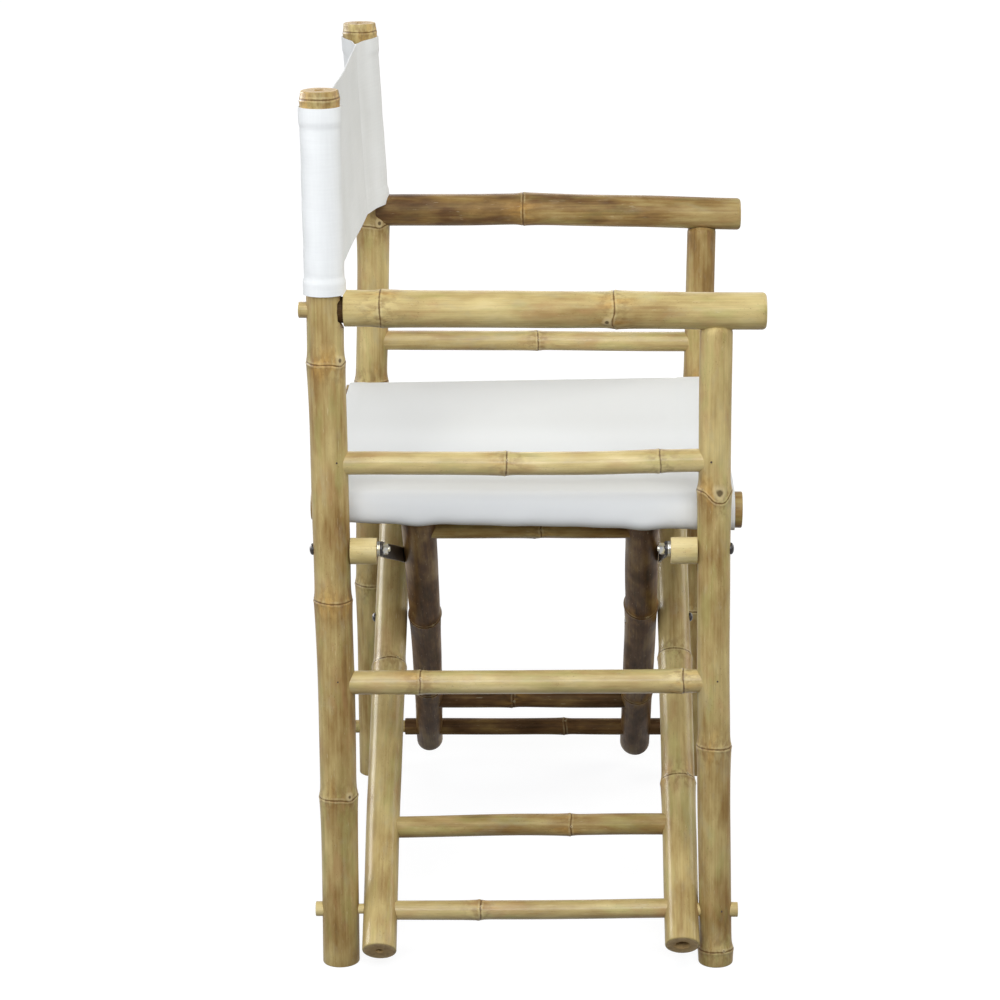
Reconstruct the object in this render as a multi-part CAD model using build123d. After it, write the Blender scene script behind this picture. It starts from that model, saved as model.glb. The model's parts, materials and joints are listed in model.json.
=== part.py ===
from build123d import *
import math
import os

# A director's chair of bamboo poles with a canvas seat and back. Two side frames stand upright and
# two crossed leg frames join them, so the chair folds sideways along X.
# Millimetres. Z = 0 is the ground, the sitter faces -Y, and "right" is the sitter's right, at -X.
# The origin lies on the ground, midway between the frames and midway along the chair's depth.

# ---- side frames ----
post_height = 875.0            # back post, foot to top
post_radius = 18.0
frame_spacing = 536.0          # right post axis to left post axis
post_spacing = 373.0           # front post axis to back post axis
arm_height = 667.0             # axis of the armrest
arm_radius = 17.5
arm_overhang = 46.0            # armrest end beyond the front post axis
arm_peg_radius = 8.0
arm_peg_grip = 60.0            # peg length inside the armrest
arm_peg_reach = 7.0            # peg end beyond the back of the post
mid_rail_rise = 56.0           # mid rail axis above the seat rail axis
mid_rail_radius = 11.0
lower_rail_height = 297.0
lower_rail_radius = 11.5
tenon_radius = 7.0
tenon_depth = 20.0             # how deep a rail or rung is set into its pole
foot_rod_height = 56.0
foot_rod_radius = 9.0
foot_rod_end_radius = 7.5      # the rod is whittled down where it passes through the posts
foot_rod_reach = 6.0           # rod end beyond the outside of the post

# ---- crossed legs ----
leg_radius = 16.5
inner_leg_offset = 117.0       # inner leg axis from the chair's middle plane, along Y
leg_gap = 0.6                  # between an inner and an outer leg at the crossing
leg_foot_reach = 40.0          # leg end beyond the foot rod axis, along the leg
seat_rail_height = 461.0
seat_rail_radius = 17.5
seat_rail_gap = 7.0            # between a seat rail and the posts beside it
seat_rail_front_reach = 25.5   # rail end beyond the front post axis
seat_rail_back_reach = 21.5    # rail end beyond the back post axis
outer_rung_radius = 12.0
inner_rung_radius = 11.0
rung_reach = 96.0              # rung axis from the foot rod axis, along the leg
top_rung_radius = 11.5
top_rung_drop = 48.0           # top rung axis below the seat rail axis, along the leg
leg_tenon_radius = 8.0
leg_tenon_depth = 16.0

# ---- hardware ----
bolt_radius = 3.0
bolt_head_radius = 6.5
bolt_head_height = 3.2
bolt_tip_reach = 1.5           # thread that shows past a nut
nut_across_flats = 10.0
nut_height = 5.0
nut_corner_radius = 5.6        # the hexagon's corners are rounded to this radius
nut_recess_depth = 6.5
nut_recess_radius = 7.0
washer_radius = 6.5
washer_thickness = 1.2
spacer_radius = 12.5
link_drop = 30.0               # link bolt below the seat rail axis
link_width = 16.0
link_thickness = 3.0
link_standoff = 3.7            # from a leg's side to its link
link_screw_radius = 2.5
link_screw_head_radius = 4.8
link_screw_head_height = 2.4
brad_radius = 0.9
brad_head_radius = 2.2
brad_head_height = 0.8
brad_length = 22.0

# ---- canvas ----
canvas_thickness = 1.5
seat_canvas_front_margin = 7.5  # bare rail in front of the canvas
seat_canvas_back_margin = 4.0
back_canvas_rise = 8.0          # its lower edge above the armrest axis
post_tip_bare = 15.0            # bare post above the back canvas

# ---- bamboo ----
node_rise_share = 0.06         # height of a node ring as a share of the pole's radius
node_lip = 1.5                 # half width of the ring's crest
node_skirt = 7.0               # half width of the ring's foot
end_chamfer = 1.0
lumen_radius = 4.5             # the hollow that shows in a sawn end
lumen_depth = 28.0

# ---- clearances and the folded shape ----
running_clearance = 0.08       # radial, for every turning fit
side_clearance = 0.3           # between faces that slide past each other
cloth_slack = 0.3              # between the canvas and the wood inside it
cloth_leg_slack = 1.5          # where the canvas is cut out round a leg's top
cloth_arm_slack = 0.8          # where the back canvas meets the armrests
fold_turn = 42.0               # how far the outer legs turn on the right foot rod, in degrees
frame_lean_share = 0.07        # lean of a side frame for each degree that the legs turn

RIGHT, LEFT = -1, 1
FRONT, BACK = -1, 1

# ---- derived places ----
frame_x = frame_spacing / 2
back_y = (post_spacing + arm_overhang - post_radius - arm_peg_reach) / 2
front_y = back_y - post_spacing
middle_y = (back_y + front_y) / 2
half_depth = post_spacing / 2
post_face = half_depth - post_radius           # inner face of a post, from the middle plane
outer_leg_offset = inner_leg_offset + 2 * leg_radius + leg_gap
mid_rail_height = seat_rail_height + mid_rail_rise
link_height = seat_rail_height - link_drop
seat_rail_x = frame_x - post_radius - seat_rail_radius - seat_rail_gap
leg_angle = math.atan2(frame_x + seat_rail_x, seat_rail_height - foot_rod_height)  # from vertical
leg_rise = frame_x / math.tan(leg_angle)       # foot rod to crossing, upwards
crossing_height = foot_rod_height + leg_rise
lower_reach = math.hypot(frame_x, leg_rise)    # foot rod to crossing, along a leg
upper_reach = (seat_rail_height - crossing_height) / math.cos(leg_angle)
seat_rail_front = front_y - seat_rail_front_reach
seat_rail_back = back_y + seat_rail_back_reach
front_post_height = arm_height - arm_radius
back_canvas_bottom = arm_height + back_canvas_rise
back_canvas_top = post_height - post_tip_bare


def across(x, end, distance, z):
    """A point at a distance from the chair's middle plane, towards its front or back."""
    return Vector(x, middle_y + end * distance, z)


def round_bar(start, end, radius):
    """A plain cylinder between two points."""
    start, end = Vector(*start), Vector(*end)
    bar = Cylinder(radius, (end - start).length, align=(Align.CENTER, Align.CENTER, Align.MIN))
    return Plane(origin=start, z_dir=end - start) * bar


def culm(start, end, radius, nodes=()):
    """A bamboo pole with a raised ring at each node, given as a share of its length."""
    start, end = Vector(*start), Vector(*end)
    length = (end - start).length
    rise = radius * node_rise_share
    outline = [(0, 0), (radius - end_chamfer, 0), (radius, end_chamfer)]
    for share in nodes:
        z = share * length
        outline += [(radius, z - node_skirt), (radius + rise, z - node_lip)]
        outline += [(radius + rise, z + node_lip), (radius, z + node_skirt)]
    outline += [(radius, length - end_chamfer), (radius - end_chamfer, length), (0, length)]
    profile = Plane.XZ * make_face(Polyline(*outline, close=True))
    return Plane(origin=start, z_dir=end - start) * revolve(profile, Axis.Z)


def lumen(mouth, direction):
    """The blind hollow in a pole's sawn end."""
    return round_bar(mouth, Vector(*mouth) + Vector(*direction).normalized() * lumen_depth, lumen_radius)


def dome(seat, direction, radius, height):
    """A low round head that sits on a flat at seat and bulges along direction."""
    curve = (radius**2 + height**2) / (2 * height)
    half_turn = math.asin(radius / curve) / 2
    middle = (curve * math.sin(half_turn), height - curve + curve * math.cos(half_turn))
    edge = Line((0, 0), (radius, 0)) + ThreePointArc((radius, 0), middle, (0, height))
    profile = Plane.XZ * make_face(edge + Line((0, height), (0, 0)))
    return Plane(origin=seat, z_dir=direction) * revolve(profile, Axis.Z)


def headed_pin(seat, direction, head_radius, head_height, radius, length):
    """A pin whose head sits at seat and bulges along direction, with its shank the other way."""
    direction = Vector(*direction).normalized()
    shank = round_bar(seat, Vector(*seat) - direction * length, radius)
    return dome(seat, direction, head_radius, head_height) + shank


def hex_nut(start, end):
    """A six-sided nut on the bolt axis between two points, with rounded corners."""
    start, end = Vector(*start), Vector(*end)
    height = (end - start).length
    prism = extrude(RegularPolygon(nut_across_flats / 2, 6, major_radius=False), height)
    corner = Cylinder(nut_corner_radius, height, align=(Align.CENTER, Align.CENTER, Align.MIN))
    bore = Cylinder(bolt_radius, height, align=(Align.CENTER, Align.CENTER, Align.MIN))
    return Plane(origin=start, z_dir=end - start) * ((prism & corner) - bore)


def ring(start, end, outer, inner):
    """A flat ring or bush between two points."""
    return round_bar(start, end, outer) - round_bar(start, end, inner)


def together(solids):
    """Several loose solids as one shape."""
    return Compound(children=[solid for shape in solids for solid in shape.solids()])


# ---- link geometry, shared by the posts, the legs and the links ----
def link_leg_reach():
    """Distance from the crossing to a link's screw that suits both the open and the folded chair."""
    rise = link_height - foot_rod_height
    turn = math.radians(fold_turn) / (1 - frame_lean_share)
    folded = leg_angle - turn
    lean = turn * frame_lean_share
    same = math.cos(folded) * math.cos(lean) - math.sin(folded) * math.sin(lean)
    other = math.cos(folded) * math.cos(lean) + math.sin(folded) * math.sin(lean)
    top = rise * lower_reach * (math.cos(leg_angle) - same)
    bottom = lower_reach * (math.cos(2 * leg_angle) - math.cos(2 * folded))
    return top / (bottom + rise * (other - math.cos(leg_angle)))


def link_slot(side):
    """Inner and outer face of a link, from the middle plane, and which way its screw's head points."""
    if side == RIGHT:
        near = inner_leg_offset + leg_radius + link_standoff
        return near, near + link_thickness, 1
    near = outer_leg_offset - leg_radius - link_standoff
    return near - link_thickness, near, -1


# ---- side frames ----
# Node rings of each pole, as shares of its length: bamboo is not regular, so no two poles match.
side_nodes = {
    RIGHT: {
        "back_post": (0.204, 0.435, 0.706),
        "front_post": (0.357, 0.744),
        "armrest": (0.088, 0.64),
        "mid_rail": (0.469, 0.883),
        "lower_rail": (0.212, 0.94),
        "foot_rod": (0.369,),
    },
    LEFT: {
        "back_post": (0.266, 0.54, 0.73),
        "front_post": (0.31, 0.72),
        "armrest": (0.403,),
        "mid_rail": (0.509,),
        "lower_rail": (0.512,),
        "foot_rod": (0.6,),
    },
}


def post_rail(x, z, radius, nodes, posts):
    """A rail between the posts: its ends are hollowed to fit the posts, and tenons go into them."""
    blank = culm((x, back_y - post_radius, z), (x, front_y + post_radius, z), radius, nodes)
    fill = round_bar((x, back_y, z), (x, front_y, z), radius)
    rail = blank + fill - posts[FRONT] - posts[BACK]
    tenons = []
    for end in (FRONT, BACK):
        root = across(x, end, post_face - tenon_radius, z)
        tenons.append(round_bar(root, across(x, end, post_face + tenon_depth, z), tenon_radius))
    for tenon in tenons:
        rail += tenon
    return rail, tenons


def foot_rod(x, nodes):
    """The rod that the legs turn on. Its thinner ends go right through the posts."""
    ends = [across(x, end, post_face, foot_rod_height) for end in (BACK, FRONT)]
    rod = culm(ends[0], ends[1], foot_rod_radius, nodes)
    reach = half_depth + post_radius + foot_rod_reach
    tips = [across(x, end, reach, foot_rod_height) for end in (BACK, FRONT)]
    return rod + round_bar(tips[0], tips[1], foot_rod_end_radius), tips


def armrest(x, nodes, back_post):
    """The armrest butts against the back post and lies over the front post."""
    back_face = back_y - post_radius
    arm = culm((x, back_face, arm_height), (x, front_y - arm_overhang, arm_height), arm_radius, nodes)
    arm += round_bar((x, back_face - arm_radius, arm_height), (x, back_y, arm_height), arm_radius)
    return arm - back_post - lumen((x, front_y - arm_overhang, arm_height), (0, 1, 0))


def link_hardware(side, x):
    """The bolts that carry the links, with a bamboo spacer, a washer and a nut on each."""
    inner, outer, _ = link_slot(side)
    nut_face = inner - side_clearance
    washer_face = outer + side_clearance
    bolts, spacers, washers, nuts = [], [], [], []
    for end in (FRONT, BACK):
        def at(distance):
            return across(x, end, distance, link_height)

        seat = half_depth + post_radius
        length = seat - (nut_face - nut_height - bolt_tip_reach)
        bolts.append(headed_pin(at(seat), (0, end, 0), bolt_head_radius, bolt_head_height,
                                bolt_radius, length))
        spacer_end = washer_face + washer_thickness
        spacers.append(ring(at(spacer_end), at(post_face), spacer_radius, bolt_radius))
        washers.append(ring(at(washer_face), at(spacer_end), washer_radius, bolt_radius))
        nuts.append(hex_nut(at(nut_face - nut_height), at(nut_face)))
    return bolts, spacers, washers, nuts


def brads(side, x):
    """The small nails that lock the tenons, the rod ends and the armrest peg."""
    face = x + side * post_radius
    places = [(face, middle_y + end * half_depth, z) for end in (FRONT, BACK)
              for z in (mid_rail_height, foot_rod_height)]
    places.append((face, back_y, arm_height))
    places.append((x + side * arm_radius, back_y - post_radius - arm_peg_grip / 2, arm_height))
    return [headed_pin(place, (side, 0, 0), brad_head_radius, brad_head_height, brad_radius, brad_length)
            for place in places]


def side_frame(side):
    """One upright side of the chair: posts, armrest, rails, foot rod and their hardware."""
    x = side * frame_x
    nodes = side_nodes[side]
    posts = {
        BACK: culm((x, back_y, 0), (x, back_y, post_height), post_radius, nodes["back_post"]),
        FRONT: culm((x, front_y, 0), (x, front_y, arm_height), post_radius, nodes["front_post"]),
    }
    pieces = {"back_post": posts[BACK], "armrest": armrest(x, nodes["armrest"], posts[BACK])}
    pieces["front_post"] = posts[FRONT] - pieces["armrest"]
    post_tenon = round_bar((x, front_y, front_post_height - tenon_radius),
                           (x, front_y, front_post_height + tenon_depth), tenon_radius)
    pieces["front_post"] += post_tenon
    pieces["armrest"] -= post_tenon

    peg = round_bar((x, back_y - post_radius - arm_peg_grip, arm_height),
                    (x, back_y + post_radius + arm_peg_reach, arm_height), arm_peg_radius)
    pieces["armrest_peg"] = peg
    pieces["armrest"] -= peg
    pieces["back_post"] -= peg

    for name, z, radius in (("mid_rail", mid_rail_height, mid_rail_radius),
                            ("lower_rail", lower_rail_height, lower_rail_radius)):
        pieces[name], tenons = post_rail(x, z, radius, nodes[name], posts)
        for tenon, post in zip(tenons, ("front_post", "back_post")):
            pieces[post] -= tenon

    pieces["foot_rod"], tips = foot_rod(x, nodes["foot_rod"])
    rod_hole = round_bar(tips[0], tips[1], foot_rod_end_radius)
    bolts, spacers, washers, nuts = link_hardware(side, x)
    for post in ("front_post", "back_post"):
        pieces[post] -= rod_hole
        for bolt, spacer in zip(bolts, spacers):
            pieces[post] = pieces[post] - bolt - spacer
    nails = brads(side, x)
    for name in ("back_post", "front_post", "armrest", "armrest_peg", "mid_rail", "foot_rod"):
        for nail in nails:
            pieces[name] -= nail
    pieces["link_bolts"] = together(bolts)
    pieces["link_spacers"] = together(spacers)
    pieces["link_washers"] = together(washers)
    pieces["link_nuts"] = together(nuts)
    pieces["brads"] = together(nails)
    return pieces


# ---- crossed legs ----
rung_nodes = {
    ("outer", "rung"): (0.645,),
    ("outer", "top_rung"): (0.3,),
    ("inner", "rung"): (0.4,),
    ("inner", "top_rung"): (0.55,),
}
leg_nodes = {
    ("outer", BACK): (0.489,),
    ("outer", FRONT): (0.276, 0.502),
    ("inner", BACK): (0.28, 0.63),
    ("inner", FRONT): (0.27, 0.66),
}


def leg_point(foot_side, end, offset, reach):
    """A point on a leg's axis, at a reach from the crossing: up is positive, down negative."""
    x = -foot_side * reach * math.sin(leg_angle)
    return across(x, end, offset, crossing_height + reach * math.cos(leg_angle))


def seat_rail(side):
    """The rail that carries one edge of the seat canvas. It is planed smooth for the canvas."""
    x = side * seat_rail_x
    front = (x, seat_rail_front, seat_rail_height)
    back = (x, seat_rail_back, seat_rail_height)
    rail = culm(back, front, seat_rail_radius)
    return rail - lumen(front, (0, 1, 0)) - lumen(back, (0, -1, 0))


def rung(kind, name, foot_side, offset, radius, reach):
    """A blank between the back and the front leg of a frame, at a reach from the crossing."""
    ends = [leg_point(foot_side, end, offset, reach) for end in (BACK, FRONT)]
    return culm(ends[0], ends[1], radius, rung_nodes[(kind, name)])


def leg_frame(kind, foot_side, offset, rung_radius):
    """Two legs that turn on one foot rod, joined by two rungs, with a seat rail across their tops."""
    rail = seat_rail(-foot_side)
    reaches = {"rung": rung_reach - lower_reach, "top_rung": upper_reach - top_rung_drop}
    radii = {"rung": rung_radius, "top_rung": top_rung_radius}
    pieces = {name: rung(kind, name, foot_side, offset, radii[name], reaches[name]) for name in reaches}
    for end, leg_name in ((BACK, "back_leg"), (FRONT, "front_leg")):
        def at(reach, distance=offset):
            return leg_point(foot_side, end, distance, reach)

        foot, top = at(-lower_reach - leg_foot_reach), at(upper_reach)
        pole = culm(foot, top, leg_radius, leg_nodes[(kind, end)])
        # The node rings are planed off on both flanks, where the leg slides past its neighbours.
        planed = Pos(*at(0)) * Box(2 * frame_spacing, 2 * leg_radius, 2 * post_height)
        leg = (pole & planed) - rail - lumen(foot, top - foot)
        tenon = round_bar(at(upper_reach - seat_rail_radius - leg_tenon_radius),
                          at(upper_reach - seat_rail_radius + leg_tenon_depth), leg_tenon_radius)
        leg += tenon
        rail -= tenon

        rod_x = foot_side * frame_x
        leg -= round_bar(across(rod_x, end, 0, foot_rod_height),
                         across(rod_x, end, half_depth, foot_rod_height),
                         foot_rod_radius + running_clearance)
        face = offset - leg_radius
        for name, reach in reaches.items():
            rung_tenon = round_bar(at(reach, face - tenon_radius), at(reach, face + tenon_depth),
                                   tenon_radius)
            pieces[name] = pieces[name] - pole + rung_tenon
            leg -= rung_tenon
        pieces[leg_name] = leg
    pieces["seat_rail"] = rail
    return pieces


def crossing_hardware():
    """The two bolts that the leg frames turn on, with their nuts sunk into the inner legs."""
    bolts, nuts = [], []
    head_seat = outer_leg_offset + leg_radius
    inner_face = inner_leg_offset - leg_radius
    nut_start = inner_face + nut_recess_depth - side_clearance
    for end in (FRONT, BACK):
        def at(distance):
            return across(0, end, distance, crossing_height)

        length = head_seat - (nut_start - nut_height - bolt_tip_reach / 2)
        bolts.append(headed_pin(at(head_seat), (0, end, 0), bolt_head_radius, bolt_head_height,
                                bolt_radius, length))
        nuts.append(hex_nut(at(nut_start - nut_height), at(nut_start)))
    return bolts, nuts


def crossed_legs():
    """Both leg frames. The outer pair stands on the right foot rod, the inner pair on the left."""
    outer = leg_frame("outer", RIGHT, outer_leg_offset, outer_rung_radius)
    inner = leg_frame("inner", LEFT, inner_leg_offset, inner_rung_radius)
    bolts, nuts = crossing_hardware()
    inner_face = inner_leg_offset - leg_radius
    for end, name in ((BACK, "back_leg"), (FRONT, "front_leg")):
        def at(distance):
            return across(0, end, distance, crossing_height)

        for bolt in bolts:
            outer[name] -= bolt
        inner[name] -= round_bar(at(0), at(half_depth), bolt_radius + running_clearance)
        inner[name] -= round_bar(at(inner_face - leg_radius), at(inner_face + nut_recess_depth),
                                 nut_recess_radius)
    pieces = {
        "outer_back_leg": outer["back_leg"],
        "outer_front_leg": outer["front_leg"],
        "outer_rung": outer["rung"],
        "outer_top_rung": outer["top_rung"],
        "left_seat_rail": outer["seat_rail"],
        "inner_back_leg": inner["back_leg"],
        "inner_front_leg": inner["front_leg"],
        "inner_rung": inner["rung"],
        "inner_top_rung": inner["top_rung"],
        "right_seat_rail": inner["seat_rail"],
        "crossing_bolts": together(bolts),
        "crossing_nuts": together(nuts),
    }
    return pieces


# ---- links ----
def link(side, end):
    """A steel strap from a post's bolt to a leg, and the screw that holds it there."""
    inner, outer, head_way = link_slot(side)
    reach = link_leg_reach()
    post_x = side * frame_x
    leg_x = side * reach * math.sin(leg_angle)
    leg_z = crossing_height + reach * math.cos(leg_angle)
    run = math.hypot(leg_x - post_x, leg_z - link_height)
    direction = Vector(leg_x - post_x, 0, leg_z - link_height)
    plane = Plane(origin=across(post_x, end, inner, link_height), x_dir=direction, z_dir=(0, end, 0))
    outline = Pos(run / 2, 0) * SlotCenterToCenter(run, link_width)
    outline -= Circle(bolt_radius + running_clearance)
    outline -= Pos(run, 0) * Circle(link_screw_radius)
    strap = plane * extrude(outline, link_thickness)

    head_seat = outer if head_way > 0 else inner
    seat = across(leg_x, end, head_seat, leg_z)
    length = link_thickness + link_standoff - side_clearance
    screw = headed_pin(seat, (0, end * head_way, 0), link_screw_head_radius, link_screw_head_height,
                       link_screw_radius, length)
    return strap, screw


# ---- canvas ----
def seat_canvas():
    """The seat: one sheet with a sleeve round each seat rail, cut out round the tops of the legs."""
    inner = seat_rail_radius + cloth_slack
    outer = inner + canvas_thickness
    front = seat_rail_front + seat_canvas_front_margin
    back = seat_rail_back - seat_canvas_back_margin
    sleeves = [Pos(side * seat_rail_x, seat_rail_height) for side in (RIGHT, LEFT)]
    sheet_height = seat_rail_height + (inner + outer) / 2
    outline = Pos(0, sheet_height) * Rectangle(2 * seat_rail_x, canvas_thickness)
    for sleeve in sleeves:
        outline += sleeve * Circle(outer)
    for sleeve in sleeves:
        outline -= sleeve * Circle(inner)
    section = Plane(origin=(0, front, 0), x_dir=(1, 0, 0), z_dir=(0, -1, 0)) * outline
    canvas = extrude(section, -(back - front))
    for foot_side, offset in ((RIGHT, outer_leg_offset), (LEFT, inner_leg_offset)):
        for end in (FRONT, BACK):
            canvas -= round_bar(leg_point(foot_side, end, offset, 0),
                                leg_point(foot_side, end, offset, upper_reach),
                                leg_radius + cloth_leg_slack)
    return canvas


def back_canvas():
    """The backrest: one sheet with a sleeve round the top of each back post."""
    inner = post_radius * (1 + node_rise_share) + cloth_slack
    outer = inner + canvas_thickness
    outline = Pos(0, back_y) * Rectangle(frame_spacing, canvas_thickness)
    for side in (RIGHT, LEFT):
        outline += Pos(side * frame_x, back_y) * Circle(outer)
    for side in (RIGHT, LEFT):
        outline -= Pos(side * frame_x, back_y) * Circle(inner)
    sheet = extrude(Plane.XY.offset(back_canvas_bottom) * outline, back_canvas_top - back_canvas_bottom)
    for side in (RIGHT, LEFT):
        x = side * frame_x
        sheet -= round_bar((x, back_y, arm_height), (x, front_y, arm_height), arm_radius + cloth_arm_slack)
    return sheet


# ---- the whole chair ----
parts = {}
for side, side_name in ((RIGHT, "right"), (LEFT, "left")):
    for piece, shape in side_frame(side).items():
        parts[f"{side_name}_{piece}"] = shape
    for end, end_name in ((FRONT, "front"), (BACK, "back")):
        strap, screw = link(side, end)
        parts[f"{side_name}_{end_name}_link"] = strap
        parts[f"{side_name}_{end_name}_link_screw"] = screw
parts.update(crossed_legs())
parts["seat_canvas"] = seat_canvas()
parts["back_canvas"] = back_canvas()

os.makedirs("parts", exist_ok=True)
for name, shape in parts.items():
    export_step(shape, f"parts/{name}.step")
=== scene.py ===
import json
import math
import random

import bpy
import numpy as np
from mathutils import Matrix, Vector


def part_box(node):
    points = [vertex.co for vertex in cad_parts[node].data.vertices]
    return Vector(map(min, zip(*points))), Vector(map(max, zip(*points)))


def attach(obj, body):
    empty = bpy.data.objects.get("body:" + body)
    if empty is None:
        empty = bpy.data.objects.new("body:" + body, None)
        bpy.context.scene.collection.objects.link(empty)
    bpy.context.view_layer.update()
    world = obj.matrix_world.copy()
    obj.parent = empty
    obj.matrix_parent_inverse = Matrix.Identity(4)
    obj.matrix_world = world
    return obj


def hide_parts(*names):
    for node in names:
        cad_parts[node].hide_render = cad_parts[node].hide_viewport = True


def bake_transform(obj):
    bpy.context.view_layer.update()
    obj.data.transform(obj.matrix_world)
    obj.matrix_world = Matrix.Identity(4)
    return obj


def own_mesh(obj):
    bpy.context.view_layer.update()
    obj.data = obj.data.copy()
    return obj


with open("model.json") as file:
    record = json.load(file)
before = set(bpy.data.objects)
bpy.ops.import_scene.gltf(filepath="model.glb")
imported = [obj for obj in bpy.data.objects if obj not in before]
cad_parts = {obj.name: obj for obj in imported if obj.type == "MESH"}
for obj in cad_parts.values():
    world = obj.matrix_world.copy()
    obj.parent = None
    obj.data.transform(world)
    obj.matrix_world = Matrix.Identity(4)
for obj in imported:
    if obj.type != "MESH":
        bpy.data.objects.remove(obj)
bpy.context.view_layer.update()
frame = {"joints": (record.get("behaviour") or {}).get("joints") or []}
pivot = {joint["name"]: Vector(joint["pos_m"]) for joint in frame["joints"]}
RIGHT, LEFT = "right", "left"


# ---------------------------------------------------------------- back posts
# Two bamboo culms, 36 mm thick and sawn square at both ends. They were singed over a flame, which
# leaves smoky patches about the knots, rubbed down and sprayed with a clear satin lacquer.
MM = 0.001


def linear(colour):
    """An sRGB hex colour as linear RGBA."""
    channels = [int(colour[i:i + 2], 16) / 255 for i in (1, 3, 5)]
    return [c / 12.92 if c <= 0.04045 else ((c + 0.055) / 1.055) ** 2.4 for c in channels] + [1.0]


def add(material, kind, inputs, stops=(), **settings):
    """Adds a shader node. Each input takes a value, or a node, whose first output is linked, or an
    output. A colour ramp also takes its stops, as pairs of place and hex colour."""
    tree = material.node_tree
    node = tree.nodes.new("ShaderNode" + kind)
    for name, value in settings.items():
        setattr(node, name, value)
    for name, value in inputs.items():
        if isinstance(value, bpy.types.Node):
            value = value.outputs[0]
        if isinstance(value, bpy.types.NodeSocket):
            tree.links.new(value, node.inputs[name])
        else:
            node.inputs[name].default_value = value
    for _ in stops[2:]:
        node.color_ramp.elements.new(0.5)
    for element, (position, colour) in zip(node.color_ramp.elements if stops else (), stops):
        element.position = position
        element.color = linear(colour)
    return node


def emptied(material):
    """A material, or the world, with no nodes left in it."""
    material.use_nodes = True
    material.node_tree.nodes.clear()
    return material


def surfaced(material, inputs):
    """Gives a material its principled shader, and sets that shader's sockets."""
    add(material, "OutputMaterial", {"Surface": add(material, "BsdfPrincipled", inputs)})
    return material


def tinted(m, colour, layers):
    """Lays tints over a colour. Each comes in where its pattern runs from low to high, up to a share,
    and may be held to some places by a value, or by another pattern and its limits."""
    for value, low, high, strength, tint, held in layers:
        share = add(m, "MapRange", {"Value": value, "From Min": low, "From Max": high,
                                    "To Max": strength}, interpolation_type="SMOOTHSTEP")
        if isinstance(held, tuple):
            held = add(m, "MapRange", {"Value": held[0], "From Min": held[1], "From Max": held[2]})
        if held:
            share = add(m, "Math", {0: share, 1: held}, operation="MULTIPLY")
        colour = add(m, "MixRGB", {"Fac": share, "Color1": colour, "Color2": linear(tint)})
    return colour


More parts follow.
